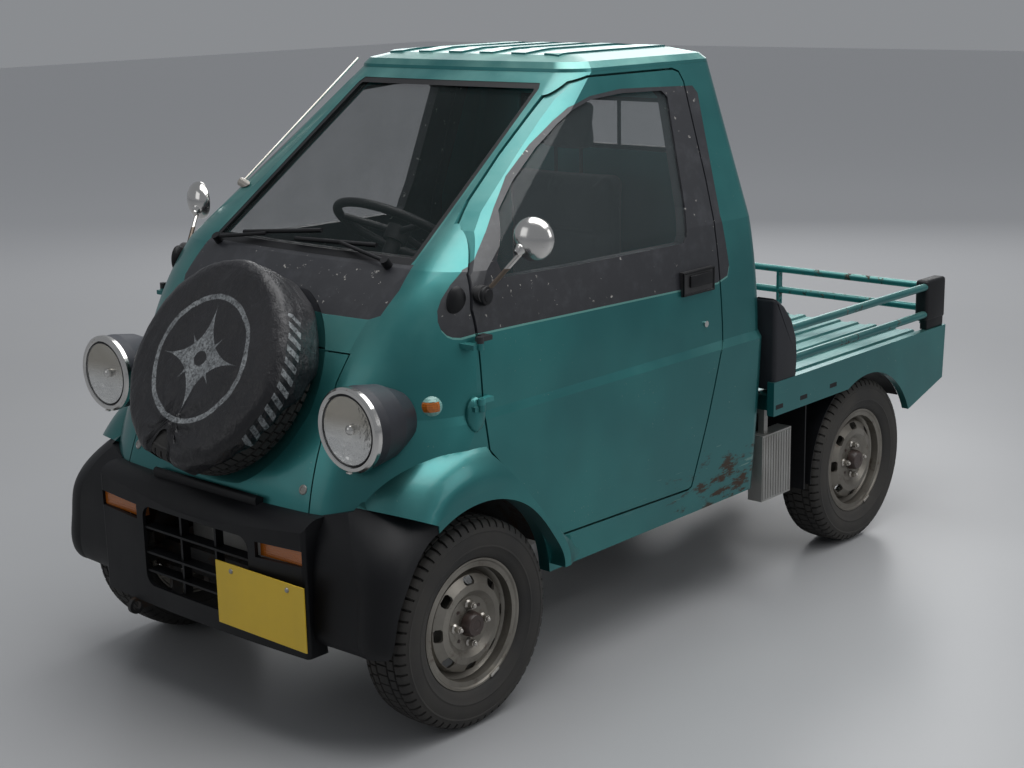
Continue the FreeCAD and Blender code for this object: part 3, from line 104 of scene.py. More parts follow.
class Finish:
    """A material under construction."""

    def __init__(self, name):
        self.material = bpy.data.materials.new(name)
        self.material.use_nodes = True
        self.tree = self.material.node_tree
        self.tree.nodes.clear()
        self.place = self.add("ShaderNodeTexCoord", output="Object")

    def add(self, kind, settings=None, values=None, output=0):
        node = self.tree.nodes.new(kind)
        for key, value in (settings or {}).items():
            setattr(node, key, value)
        for key, value in (values or {}).items():
            if isinstance(value, Signal):
                self.tree.links.new(value.socket, node.inputs[key])
            else:
                node.inputs[key].default_value = value
        return Signal(self, node.outputs[output]) if node.outputs else None

    def axis(self, name):
        return self.add("ShaderNodeSeparateXYZ", None, {0: self.place}, name)

    def upward(self):
        """How far the surface faces up: 1 for a flat top, 0 for a wall."""
        facing = self.add("ShaderNodeNewGeometry", output="Normal")
        return self.add("ShaderNodeSeparateXYZ", None, {0: facing}, "Z")

    def noise(self, scale, detail=4.0, rough=0.55, stretch=(1, 1, 1)):
        where = self.place
        if stretch != (1, 1, 1):
            where = self.add("ShaderNodeMapping", None, {"Vector": self.place, "Scale": stretch})
        return self.add("ShaderNodeTexNoise", None,
                        {"Vector": where, "Scale": scale, "Detail": detail, "Roughness": rough})

    def cells(self, scale):
        return self.add("ShaderNodeTexVoronoi", {"feature": "SMOOTH_F1"},
                        {"Vector": self.place, "Scale": scale})

    def mix(self, share, first, second):
        return self.add("ShaderNodeMix", {"data_type": "RGBA"}, {0: share, 6: first, 7: second}, 2)

    def bump(self, height, depth, strength=1.0, normal=None):
        values = {"Height": height, "Distance": depth, "Strength": strength}
        if normal is not None:
            values["Normal"] = normal
        return self.add("ShaderNodeBump", None, values)

    def surface(self, **values):
        named = {key.replace("_", " "): value for key, value in values.items()}
        shader = self.add("ShaderNodeBsdfPrincipled", None, named)
        self.add("ShaderNodeOutputMaterial", None, {"Surface": shader})
        return self.material


def rgb(red, green, blue):
    return (red, green, blue, 1.0)


def wear(finish, amount=0.5, low=0.3):
    """A mask of grime that gathers in patches and runs down, 0 to 1."""
    patches = finish.noise(3.2, 6.0, 0.62)
    runs = finish.noise(9.0, 3.0, 0.5, (1.0, 1.0, 0.18))
    return (patches * 0.6 + runs * 0.4).rise(low, low + 0.5) * amount


# Outlines in the side view and the front view: metres along Y or X, and height.
WINDOW_BAND = (
    (-0.812, 1.159), (-0.840, 1.147), (-0.878, 1.115), (-0.908, 1.083), (-0.925, 1.058), (-0.934, 1.034),
    (-0.935, 1.016), (-0.929, 1.003), (-0.919, 0.997), (-0.903, 0.995), (-0.868, 1.001), (-0.707, 0.998),
    (-0.392, 0.991), (-0.040, 0.983), (0.139, 0.977), (0.190, 0.990), (0.202, 1.018), (0.189, 1.162),
    (0.204, 1.343), (0.218, 1.503), (0.201, 1.524), (0.009, 1.531), (-0.120, 1.535), (-0.254, 1.524),
    (-0.345, 1.501), (-0.403, 1.471), (-0.491, 1.418), (-0.594, 1.346), (-0.677, 1.276), (-0.733, 1.226),
    (-0.778, 1.188),
)
COWL = (
    (-0.399, 1.140), (-0.404, 1.060), (-0.385, 1.033), (-0.350, 1.028), (0.350, 1.028), (0.385, 1.040),
    (0.402, 1.098), (0.396, 1.152), (-0.396, 1.152),
)
ROW = -0.035  # from the wheelbase's middle, where outlines are measured, to the frame's origin
SIDE_WALL = 0.40  # past this the cab's skin is its side
LIP_HIGHLIGHT = 0.005  # height of the painted highlight along the lower edge of the band, where its pressed lip catches light
METAL = 0.78


def within(across, up, outline):
    """1 inside a closed outline and 0 outside: each edge that is crossed on the way out turns it over."""
    parity = 1.0
    for index, (x, z) in enumerate(outline):
        before_x, before_z = outline[index - 1]
        spans = (up.over(z) - up.over(before_z)).size()
        slope = (x - before_x) / (z - before_z) if abs(z - before_z) > 1e-6 else 0.0
        crossed = spans * across.under((up - z) * slope + x)
        parity = (1.0 - crossed * 2.0) * parity
    return (1.0 - parity) * 0.5


TEAL = rgb(0.030, 0.205, 0.203)
TEAL_DEEP = rgb(0.021, 0.150, 0.154)
TEAL_DUST_AND_SHEEN = rgb(0.180, 0.380, 0.345)
RUST = rgb(0.055, 0.028, 0.014)
BLACK_PAINT = rgb(0.010, 0.011, 0.015)


def painted(name, band=False, cowl=False, sill=False, scrape=0.0, dust_and_sheen=0.5):
    """Metallic teal over primer, with what the years have done to it, and a painted highlight under the band.
    The cowl's black needs the band's.
    """
    finish = Finish(name)
    height, along, across = finish.axis("Z"), finish.axis("Y"), finish.axis("X")
    flake = finish.noise(900.0, 1.0, 0.5)
    cloud = finish.noise(2.4, 3.0, 0.5)
    colour = finish.mix(cloud.rise(0.35, 0.7), TEAL_DEEP, TEAL)
    # Upward faces gather dusty mint. Where the amount is turned up, as on the roof, this also stands in as a
    # painted highlight.
    settled_dust_and_sheen = finish.upward().rise(0.15, 0.95) * wear(finish, 1.0, 0.25) * dust_and_sheen
    colour = finish.mix(settled_dust_and_sheen + wear(finish, 0.05, 0.3), colour, TEAL_DUST_AND_SHEEN)
    specks = finish.noise(120.0, 2.0, 0.7).over(0.70) * finish.noise(5.0, 3.0, 0.6).over(0.55)
    colour = finish.mix(specks * 0.5, colour, rgb(0.2, 0.3, 0.27))
    rough = wear(finish, 0.14, 0.3) + 0.31
    metal = METAL
    if band:
        outside = across.size().over(SIDE_WALL)
        black = within(along - ROW, height, WINDOW_BAND) * outside
        if cowl:
            black = black.most(within(across, height, COWL) * along.under(-0.5))
        ragged = finish.noise(46.0, 4.0, 0.65)
        chips = ragged.over(0.665) * finish.noise(6.0, 3.0, 0.6).over(0.47)
        scuffs = finish.noise(15.0, 6.0, 0.7).rise(0.45, 0.8)
        dark = finish.mix(scuffs * 0.35, BLACK_PAINT, rgb(0.065, 0.068, 0.078))
        dark = finish.mix(chips, dark, rgb(0.30, 0.29, 0.27))
        # A thin mint line just under the band's lower edge is a painted highlight, standing in for light
        # caught by the pressed lip.
        lip_highlight = within(along - ROW, height + LIP_HIGHLIGHT, WINDOW_BAND) * outside * height.under(1.06)
        colour = finish.mix(lip_highlight * 0.7, colour, rgb(0.22, 0.52, 0.46))
        colour = finish.mix(black, colour, dark)
        rough = rough + black * 0.16
        metal = black * -METAL + metal
    if sill:
        low = 1.0 - height.rise(0.40, 0.62)
        rear = along.rise(-0.60, 0.15)
        grain = finish.noise(22.0, 8.0, 0.7, (1.0, 0.5, 1.6))
        rusted = (grain + low * rear * 0.20).rise(0.71, 0.80) * low * rear
        scratched = finish.noise(14.0, 4.0, 0.6, (1.0, 0.25, 3.0)).over(0.66) * low * rear
        colour = finish.mix(rusted, colour, RUST)
        colour = finish.mix(scratched * 0.6, colour, rgb(0.20, 0.34, 0.30))
        rough = rough + rusted * 0.4
    if scrape:
        grain = finish.noise(30.0, 8.0, 0.72)
        worn = (grain + finish.noise(3.0, 2.0, 0.5) * 0.3).rise(0.80 - scrape, 0.86 - scrape)
        colour = finish.mix(worn, colour, RUST)
        light = finish.noise(60.0, 5.0, 0.7).over(0.62) * worn
        colour = finish.mix(light * 0.5, colour, rgb(0.35, 0.36, 0.33))
        rough = rough + worn * 0.35
    ripple = finish.noise(2.2, 2.0, 0.4)
    normal = finish.bump(ripple * 0.6 + flake * 0.02, 0.0035, 0.35)
    if band:
        normal = finish.bump(1.0 - black, 0.0012, 0.7, normal)
    return finish.surface(Base_Color=colour, Metallic=metal, Roughness=rough, Normal=normal,
                          Coat_Weight=0.35, Coat_Roughness=0.12)


def dress(material, *nodes):
    """CAD pieces take a finish on every slot."""
    for node in nodes:
        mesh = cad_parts[node].data
        if not mesh.materials:
            mesh.materials.append(material)
        for index in range(len(mesh.materials)):
            mesh.materials[index] = material


cab_paint = painted("cab paint", band=True, cowl=True, sill=True)
plain_paint = painted("panel paint", dust_and_sheen=0.3)
bed_paint = painted("bed paint", dust_and_sheen=0.55)
# The roof's dust is turned up well past the other panels, partly as a painted highlight from the light above.
roof_dust_and_highlight_paint = painted("roof paint and painted highlight", dust_and_sheen=1.25)
worn_paint = painted("rail paint", scrape=0.075, dust_and_sheen=0.8)
dress(cab_paint, "cab_shell", "door_left", "door_right")
dress(plain_paint, "bonnet", "front_flares")
dress(roof_dust_and_highlight_paint, "roof_panel")
dress(bed_paint, "bed_sides", "bed_deck")
dress(worn_paint, "tail_gate", "bed_frame")

# -------------------- bumper, lamp pods and other black plastic
# Moulded black polypropylene, chalky where the sun has faded it.


def moulded(name, shade=0.005, grain=420.0, fade=0.5, chalky=3.0):
    """Black plastic: how light it is, its grain, how faded, and how much paler where it is."""
    finish = Finish(name)
    chalk = wear(finish, fade, 0.3) + finish.upward().rise(0.2, 1.0) * 0.25
    pale = shade * chalky
    colour = finish.mix(chalk, rgb(shade, shade * 1.08, shade * 1.4), rgb(pale, pale * 1.06, pale * 1.25))
    skin = finish.noise(grain, 2.0, 0.5)
    return finish.surface(Base_Color=colour, Roughness=wear(finish, 0.2, 0.3) + 0.42,
                          Specular_IOR_Level=0.28, Normal=finish.bump(skin, 0.0004, 0.5))


black_plastic = moulded("bumper plastic", 0.0034, 420.0, 0.5, 2.8)
dress(moulded("pod plastic", 0.014, 420.0, 0.6, 5.0), "headlamp_pods")
dress(black_plastic, "front_bumper", "bumper_grille", "dashboard", "steering_column", "steering_wheel",
      "mudguards", "wipers", "spare_carrier", "window_seals")

# -------------------- glass
# Laminated windscreen and toughened side and rear windows, with a light green tint.


def glazing(name, tint, alpha):
    """Tinted glass with a film of dirt; alpha is how much of the view it stops."""
    finish = Finish(name)
    smear = wear(finish, 0.10, 0.3)
    return finish.surface(Base_Color=tint, Roughness=smear + 0.03, Alpha=smear * 0.5 + alpha, IOR=1.5,
                          Specular_IOR_Level=0.5)


dress(glazing("window glass", rgb(0.02, 0.03, 0.03), 0.13), "windscreen", "rear_window")
dress(glazing("door glass", rgb(0.085, 0.105, 0.110), 0.20), "door_glass_left", "door_glass_right")

# -------------------- wheels
# Four pressed-steel wheels and the spare, each a rolled rim with its disc welded in. They were sprayed a
# sandy silver that is now chalky and stained, and stand on 12-inch tyres with a blocky all-season tread.
wheel_finish = Finish("wheel steel")
grime = wear(wheel_finish, 0.9, 0.25)
stain = wheel_finish.noise(26.0, 6.0, 0.7).rise(0.56, 0.70)
silver = wheel_finish.mix(grime, rgb(0.300, 0.283, 0.250), rgb(0.080, 0.070, 0.058))
wheel_steel = wheel_finish.surface(
    Base_Color=wheel_finish.mix(stain * 0.7, silver, rgb(0.075, 0.050, 0.034)), Metallic=0.75,
    Roughness=grime * 0.2 + 0.36, Normal=wheel_finish.bump(wheel_finish.noise(300.0), 0.0004, 0.4))
tyre_finish = Finish("tyre rubber")
dusty = wear(tyre_finish, 0.8, 0.28)
tyre_rubber = tyre_finish.surface(
    Base_Color=tyre_finish.mix(dusty, rgb(0.014, 0.014, 0.0145), rgb(0.052, 0.047, 0.040)),
    Roughness=dusty * 0.15 + 0.74, Normal=tyre_finish.bump(tyre_finish.noise(500.0), 0.0005, 0.6))
ENDS = ("front_left", "front_right", "rear_left", "rear_right")
dress(wheel_steel, "spare_rim", *[f"rim_{end}" for end in ENDS])
TREAD = (
    # millimetres out from the middle plane, radius, which rib: from the middle out over the shoulder
    (0.0, 271.0, 1), (15.0, 270.7, 1), (16.2, 264.8, 0), (20.0, 264.6, 0), (21.2, 270.4, 2),
    (39.0, 269.0, 2), (40.2, 263.0, 0), (43.5, 262.8, 0), (44.7, 268.4, 3), (56.0, 266.0, 3),
    (62.5, 261.0, 3), (66.5, 254.0, 3),
)
SIDEWALL = (
    (68.3, 250.0), (70.6, 243.5), (71.9, 242.0), (71.9, 239.0), (71.0, 237.5), (72.2, 228.0), (72.5, 215.0),
    (71.3, 205.5), (72.0, 204.0), (72.0, 201.0), (70.6, 199.5), (67.5, 188.0), (62.0, 178.5), (57.2, 172.5),
    (47.7, 168.0), (47.7, 155.0), (35.5, 155.0), (35.5, 176.0), (50.0, 186.0), (60.0, 205.0), (61.0, 228.0),
    (56.0, 246.0), (40.0, 256.0), (0.0, 258.5),
)
PITCHES = 60
WELD = 0.00002
STEPS = (
    # share of one pitch turned, then how deep each rib's cross groove is there
    (0.12, (0, 0, 0, 0)), (0.04, (0, 5, 0, 0)), (0.10, (0, 5, 0, 0)), (0.04, (0, 0, 0, 0)),
    (0.12, (0, 0, 0, 0)), (0.04, (0, 0, 5, 0)), (0.10, (0, 0, 5, 0)), (0.04, (0, 0, 0, 0)),
    (0.12, (0, 0, 0, 0)), (0.04, (0, 0, 0, 8)), (0.18, (0, 0, 0, 8)), (0.04, (0, 0, 0, 0)),
    (0.02, (0, 0, 0, 0)),
)


def tyre_form():
    """One tyre about its own axle, outboard along X, in metres."""
    bm = bmesh.new()
    right = list(TREAD) + [(reach, radius, 0) for reach, radius in SIDEWALL]
    left = [(-reach, radius, rib) for reach, radius, rib in right[1:-1]]
    rib_of = bm.verts.layers.int.new("rib")
    corners = []
    for reach, radius, rib in right + left[::-1]:
        corner = bm.verts.new((reach / 1000, 0, radius / 1000))
        corner[rib_of] = rib
        corners.append(corner)
    last = corners + [bm.edges.new((corners[index - 1], corners[index])) for index in range(len(corners))]
    pitch = math.tau / PITCHES
    depth = (0, 0, 0, 0)
    for share, sunk in STEPS:
        last = bmesh.ops.spin(bm, geom=last, cent=(0, 0, 0), axis=(1, 0, 0), angle=pitch * share,
                              steps=1)["geom_last"]
        for corner in last:
            if isinstance(corner, bmesh.types.BMVert):
                drop = (sunk[corner[rib_of]] - depth[corner[rib_of]]) / 1000
                corner.co -= Vector((0, corner.co.y, corner.co.z)).normalized() * drop
        depth = sunk
    bmesh.ops.spin(bm, geom=bm.faces[:], cent=(0, 0, 0), axis=(1, 0, 0), angle=pitch * (PITCHES - 1),
                   steps=PITCHES - 1, use_duplicate=True)
    bmesh.ops.remove_doubles(bm, verts=bm.verts[:], dist=WELD)
    bmesh.ops.recalc_face_normals(bm, faces=bm.faces[:])
    return bm


def placed(bm, name, material, turn=Matrix(), smooth=True):
    """A finished piece: the form moved into the frame, with its material."""
    bmesh.ops.transform(bm, matrix=turn, verts=bm.verts[:])
    mesh = bpy.data.meshes.new(name)
    bm.to_mesh(mesh)
    bm.free()
    mesh.materials.append(material)
    if smooth:
        mesh.shade_smooth()
        mesh.set_sharp_from_angle(angle=math.radians(32))
    piece = bpy.data.objects.new(name, mesh)
    bpy.context.scene.collection.objects.link(piece)
    return piece


def keep(piece, body, instead_of=None):
    """A piece moves with a body, and may stand in for a CAD node."""
    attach(piece, body)
    if instead_of:
        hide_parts(instead_of)


def facing(direction):
    """The turn that brings X to a direction."""
    return Vector(direction).to_track_quat("X", "Z").to_matrix().to_4x4()


WHEEL_ENDS = {}
for end in ENDS:
    low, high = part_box(f"tyre_{end}")
    half_turn = Matrix.Rotation(0.0 if "left" in end else math.pi, 4, "Z")
    WHEEL_ENDS[end] = Matrix.Translation((Vector(low) + Vector(high)) / 2) @ half_turn
for end, place in WHEEL_ENDS.items():
    tyre = placed(tyre_form(), f"tread_{end}", tyre_rubber, place)
    keep(tyre, f"wheel_{end}", f"tyre_{end}")
SPARE_TILT = math.radians(30)
spare_faces = (0, -math.cos(SPARE_TILT), math.sin(SPARE_TILT))
spare_at = Matrix.Translation((0.0, -1.178 + ROW, 0.890)) @ facing(spare_faces)
keep(placed(tyre_form(), "tread_spare", tyre_rubber, spare_at), "truck", "spare_tyre")

# -------------------- wheel nuts and hubs
# Each wheel hangs on four plated nuts with domed ends, round a greasy hub whose grease cap is gone. Four
# small drain holes sit between the nuts, drawn as near-black discs on the face: painted shade. A lead weight
# is clipped to the rim.
nut_finish = Finish("wheel nut plate")
nut_plate = nut_finish.surface(
    Base_Color=nut_finish.mix(wear(nut_finish, 0.8, 0.3), rgb(0.60, 0.58, 0.54), rgb(0.22, 0.18, 0.14)),
    Metallic=0.9, Roughness=0.28)
hub_and_hole_finish = Finish("greasy hub and painted hole shade")
grease_and_hole_shade = hub_and_hole_finish.surface(
    Base_Color=hub_and_hole_finish.mix(hub_and_hole_finish.noise(60.0, 5.0), rgb(0.015, 0.012, 0.011), rgb(0.06, 0.035, 0.028)),
    Roughness=0.4)
DISC_FACE, STUD_RING, DRAIN_RING = 0.040, 0.050, 0.053


def spun(profile, place, steps=24):
    """A turned form: (reach, radius) points about the X axis of a place, closed at its ends on the axis."""
    bm = bmesh.new()
    corners = [bm.verts.new((reach, 0, radius)) for reach, radius in profile]
    edges = [bm.edges.new(pair) for pair in zip(corners, corners[1:])]
    bmesh.ops.spin(bm, geom=corners + edges, cent=(0, 0, 0), axis=(1, 0, 0), angle=math.tau, steps=steps,
                   use_merge=True)
    bmesh.ops.remove_doubles(bm, verts=bm.verts[:], dist=WELD)
    bmesh.ops.recalc_face_normals(bm, faces=bm.faces[:])
    bmesh.ops.transform(bm, matrix=place, verts=bm.verts[:])
    return bm


def merged(forms):
    """Several forms in one mesh."""
    whole = bmesh.new()
    for form in forms:
        step = bpy.data.meshes.new("step")
        form.to_mesh(step)
        form.free()
        whole.from_mesh(step)
        bpy.data.meshes.remove(step)
    return whole


def eased(bm, radius, segments=2, edges=None):
    """A form with its edges rounded, or only those named."""
    bmesh.ops.bevel(bm, geom=edges or bm.edges[:], offset=radius, segments=segments, profile=0.5,
                    affect="EDGES", material=-1)
    return bm


def block(middle, size, turn=Matrix()):
    """A sharp-edged box about a middle, which may sit in a turned place."""
    bm = bmesh.new()
    at = turn @ Matrix.Translation(middle)
    bmesh.ops.create_cube(bm, size=1.0, matrix=at @ Matrix.Diagonal((*size, 1)))
    return bm


def nut(place):
    """A hexagon nut on a coned seat with a domed end, along X."""
    bm = bmesh.new()
    bmesh.ops.create_cone(bm, cap_ends=True, segments=6, radius1=0.0098, radius2=0.0098, depth=0.014,
                          matrix=Matrix.Translation((0.012, 0, 0)) @ Matrix.Rotation(math.pi / 2, 4, "Y"))
    eased(bm, 0.0012)
    bmesh.ops.transform(bm, matrix=place, verts=bm.verts[:])
    cone = spun([(0, 0), (0, 0.013), (0.002, 0.0132), (0.006, 0.0095), (0.006, 0)], place, 18)
    dome = spun([(0.018, 0), (0.018, 0.0072), (0.0235, 0.0062), (0.0262, 0.0035), (0.0268, 0)], place, 18)
    return merged([bm, cone, dome])


def on_disc(radius, quarter):
    """A place on the face of the wheel's disc, so many quarter turns round from the top."""
    angle = math.pi / 2 * quarter
    return Matrix.Translation((DISC_FACE, radius * math.sin(angle), radius * math.cos(angle)))


DRAIN = ((-0.0005, 0), (0.0006, 0), (0.0006, 0.0036), (0.0012, 0.0046), (-0.0005, 0.0050), (-0.0005, 0))
HUB = ((0.0262, 0), (0.0262, 0.0135), (0.0272, 0.0150), (0.0272, 0.0265), (0.0205, 0.0312), (0.004, 0.0335))
for end, place in WHEEL_ENDS.items():
    nuts = [nut(on_disc(STUD_RING, quarter)) for quarter in range(4)]
    # Each drain hole is a near-black disc on the wheel's face, painted shade where the hole would be.
    drain_hole_shades = [spun(DRAIN, on_disc(DRAIN_RING, quarter + 0.5), 16) for quarter in range(4)]
    bore = spun(HUB, Matrix.Translation((DISC_FACE, 0, 0)), 36)
    on_rim = Matrix.Translation((0.059, 0.070, -0.149)) @ Matrix.Rotation(0.44, 4, "X")
    weight = eased(block((0, 0, 0), (0.006, 0.034, 0.009), on_rim), 0.002)
    fitted = (("nuts", merged(nuts), nut_plate), ("hub", merged(drain_hole_shades + [bore]), grease_and_hole_shade),
              ("weight", weight, nut_plate))
    for name, form, material in fitted:
        keep(placed(form, f"{name}_{end}", material, place), f"wheel_{end}")

# -------------------- headlamps
# A round sealed lamp in each pod: a silvered bowl behind a fluted glass, a bulb shield in the middle, a black
# rubber gasket and a broad chromed ring held by a clip. The bowl is painted bright below and darker above, a
# painted reflection.
chrome_finish = Finish("chrome")
pitting = chrome_finish.noise(90.0, 6.0, 0.7).over(0.66) * chrome_finish.noise(7.0, 3.0, 0.6).over(0.5)
chrome = chrome_finish.surface(
    Base_Color=chrome_finish.mix(pitting, rgb(0.66, 0.65, 0.63), rgb(0.20, 0.13, 0.08)), Metallic=1.0,
    Roughness=wear(chrome_finish, 0.22, 0.3) + 0.07 + pitting * 0.3)
silver_reflection_finish = Finish("lamp silvering")
# The bowl's colour goes from bright in its lower half to darker above: a painted reflection.
silvering_with_painted_reflection = silver_reflection_finish.surface(
    Base_Color=silver_reflection_finish.mix(silver_reflection_finish.axis("Z").rise(0.775, 0.845), rgb(0.92, 0.92, 0.90),
                                 rgb(0.40, 0.37, 0.31)),
    Metallic=1.0, Roughness=0.15, Normal=silver_reflection_finish.bump(silver_reflection_finish.noise(38.0, 2.0), 0.004, 0.6))
lens_finish = Finish("lamp glass")
high = lens_finish.axis("Z")
flutes = (lens_finish.axis("X") * 560.0).sine() + (high * 260.0).sine() * high.under(0.79)
lens_glass = lens_finish.surface(
    Base_Color=lens_finish.mix(wear(lens_finish, 0.8, 0.3), rgb(0.70, 0.71, 0.70), rgb(0.45, 0.43, 0.38)),
    Roughness=wear(lens_finish, 0.1, 0.3) + 0.04, Alpha=wear(lens_finish, 0.14, 0.3) + 0.12,
    Normal=lens_finish.bump(flutes * 0.5, 0.0012, 0.8), Coat_Weight=0.6, Coat_Roughness=0.04)
dress(chrome, "headlamp_rims")
dress(nut_plate, "antenna")
LAMP_PARTS = (
    # name, finish, slot, steps round, then its outline: how far out of the pod and how wide
    ("bowl", silvering_with_painted_reflection, "lamp_glass", 48, (
        (0.0012, 0), (0.0015, 0.012), (0.0030, 0.030), (0.0060, 0.050), (0.0105, 0.070), (0.0140, 0.0850))),
    ("glass", lens_glass, "lamp_glass", 64, (
        (0.0142, 0.0852), (0.0172, 0.0840), (0.0215, 0.070), (0.0255, 0.050), (0.0282, 0.028), (0.0292, 0))),
    ("shield", chrome, "lamp_glass", 28, (
        (0.0022, 0), (0.0022, 0.012), (0.0085, 0.0125), (0.0125, 0.0100), (0.0150, 0.0050), (0.0158, 0))),
    ("seal", moulded("gasket rubber", 0.006, 600.0, 0.3), "rubber", 64, (
        (0.0132, 0.0862), (0.0158, 0.0872), (0.0168, 0.0858), (0.0166, 0.0835), (0.0148, 0.0828))),
)
LAMP = (0.482, -1.186 + ROW, 0.812)
SIDES = ((1, "left"), (-1, "right"))
for side, label in SIDES:
    eye = Matrix.Translation((LAMP[0] * side, LAMP[1], LAMP[2])) @ Matrix.Rotation(-math.pi / 2, 4, "Z")
    for name, material, slot, steps, outline in LAMP_PARTS:
        piece = placed(spun(outline, eye, steps), f"lamp_{name}_{label}", material)
        keep(piece, "truck", "headlamp_lenses" if (name, label) == ("glass", "left") else None)
    clip = eased(block((0.0095, 0.0, -0.103), (0.018, 0.016, 0.004), eye), 0.0014)
    keep(placed(clip, f"lamp_clip_{label}", chrome), "truck")

# -------------------- turn, side and tail lamps
# Amber plastic lenses in the bumper and on the fenders, the side ones in painted bezels, and red tail lamps.
lamp_finish = Finish("lamp plastic")
along, across, high = lamp_finish.axis("Y"), lamp_finish.axis("X"), lamp_finish.axis("Z")
ribs = (across * 900.0).sine() * 0.5 + (high * 1100.0).sine() * 0.5
at_rear = along.over(0.5)
amber = lamp_finish.mix(wear(lamp_finish, 0.5, 0.3), rgb(0.44, 0.122, 0.010), rgb(0.22, 0.062, 0.010))
red = lamp_finish.mix(wear(lamp_finish, 0.4, 0.3), rgb(0.30, 0.010, 0.008), rgb(0.14, 0.012, 0.010))
off_lens = ((high - 0.839).size() * 1.35).most((along + 1.030).size())
bezel = off_lens.over(0.0165) * high.over(0.70) * along.under(0.0) * across.size().over(0.50)
hue = lamp_finish.mix(bezel, lamp_finish.mix(at_rear, amber, red), TEAL_DUST_AND_SHEEN)
hue = lamp_finish.mix(at_rear * high.over(0.542), hue, rgb(0.012, 0.012, 0.014))
dress(lamp_finish.surface(Base_Color=hue, Roughness=bezel * 0.15 + 0.16, Coat_Weight=0.5,
                          Normal=lamp_finish.bump(ribs, 0.0006, 0.5)), "signal_lamps")

# -------------------- mirrors, handles and hinges
# Round chromed mirrors on bent stalks from black feet, black flap handles, a bright lock, and painted strap
# hinges. The solids of all these are one piece a side, so its finish tells them apart by place.
fitting_finish = Finish("door fittings")
along, high = fitting_finish.axis("Y"), fitting_finish.axis("Z")
bright = high.over(1.150)
stalk = high.over(1.106) * along.over(-0.857) * (1.0 - bright)
lock = high.over(0.855) * high.under(0.885) * along.over(-0.20)
strap = along.under(-0.80) * high.under(1.02)
plain = fitting_finish.mix(wear(fitting_finish, 0.6, 0.3), rgb(0.014, 0.014, 0.015), rgb(0.06, 0.06, 0.062))
hue = fitting_finish.mix(bright, plain, rgb(0.66, 0.64, 0.61))
hue = fitting_finish.mix(stalk, hue, rgb(0.110, 0.088, 0.070))
hue = fitting_finish.mix(lock, hue, rgb(0.62, 0.62, 0.60))
hue = fitting_finish.mix(strap, hue, fitting_finish.mix(high.over(0.94), TEAL, rgb(0.016, 0.016, 0.018)))
shine = bright.most(lock)
door_trim = fitting_finish.surface(
    Base_Color=hue, Metallic=shine.most(stalk * 0.7), Roughness=0.46 - shine * 0.36 - stalk * 0.1,
    Normal=fitting_finish.bump(fitting_finish.noise(400.0), 0.0003, 0.4))
dress(door_trim, "door_fittings_left", "door_fittings_right")
dress(painted("hinge paint", band=True), "hinge_brackets")
HEAD = (
    # towards the front, radius: from the glass over the rim to the top of the dome
    (-0.0146, 0), (-0.0146, 0.0500), (-0.0156, 0.0506), (-0.0156, 0.0530), (-0.0120, 0.0546),
    (-0.0060, 0.0549), (0.0020, 0.0532), (0.0100, 0.0470), (0.0170, 0.0370), (0.0222, 0.0240),
    (0.0248, 0.0110), (0.0254, 0),
)
CLAMP = (
    (-0.012, 0), (-0.012, 0.017), (0.004, 0.0165), (0.010, 0.011), (0.020, 0.0085), (0.021, 0.0040),
    (0.021, 0),
)
FOOT = (
    (0.0, 0), (0.0, 0.0250), (0.0200, 0.0250), (0.0260, 0.0225), (0.0285, 0.0165), (0.0300, 0.0160),
    (0.0310, 0.0130), (0.0310, 0),
)
HANDLE_Y, HANDLE_TOP, HANDLE_LENGTH, HANDLE_HEIGHT = 0.0375 + ROW, 1.030, 0.147, 0.068
for side, label in SIDES:
    mirror = Vector((0.650 * side, -0.722 + ROW, 1.218))
    back = Vector((0.25 * side, -1.0, 0.0)).normalized()
    head = placed(spun(HEAD, Matrix.Translation(mirror) @ facing(back), 72), f"mirror_head_{label}", chrome)
    clamp_at = Matrix.Translation(mirror + back * 0.017 + Vector((-0.024 * side, 0, -0.022)))
    clamp_at = clamp_at @ facing(back + Vector((-0.5 * side, 0, -0.6)))
    clamp = placed(spun(CLAMP, clamp_at, 28), f"mirror_clamp_{label}", chrome)
    form = block((0.6035 * side, HANDLE_Y, HANDLE_TOP - HANDLE_HEIGHT / 2),
                 (0.0070, HANDLE_LENGTH, HANDLE_HEIGHT))
    outer = [face for face in form.faces if face.normal.x * side > 0.9]
    bmesh.ops.inset_region(form, faces=outer, thickness=0.005)
    outer = [face for face in form.faces if face.normal.x * side > 0.9 and face.calc_area() > 0.004]
    bmesh.ops.inset_region(form, faces=outer, thickness=0.004, depth=-0.0045)
    eased(form, 0.0016, edges=[edge for edge in form.edges if edge.calc_face_angle(0.0) > 0.6])
    recess = placed(form, f"handle_frame_{label}", black_plastic)
    form = block((0.6065 * side, HANDLE_Y + 0.008, HANDLE_TOP - 0.029), (0.0055, 0.104, 0.034))
    flap = placed(eased(form, 0.0024, 3), f"handle_flap_{label}", black_plastic)
    foot_at = Matrix.Translation((0.566 * side, -0.826 + ROW, 1.088)) @ Matrix.Rotation(
        0.12 * side + (0.0 if side > 0 else math.pi), 4, "Z")
    foot = placed(spun(FOOT, foot_at, 40), f"mirror_foot_{label}", black_plastic)
    for piece in (head, clamp):
        keep(piece, f"door_{label}")
    for piece in (foot, recess, flap):
        keep(piece, f"door_{label}")

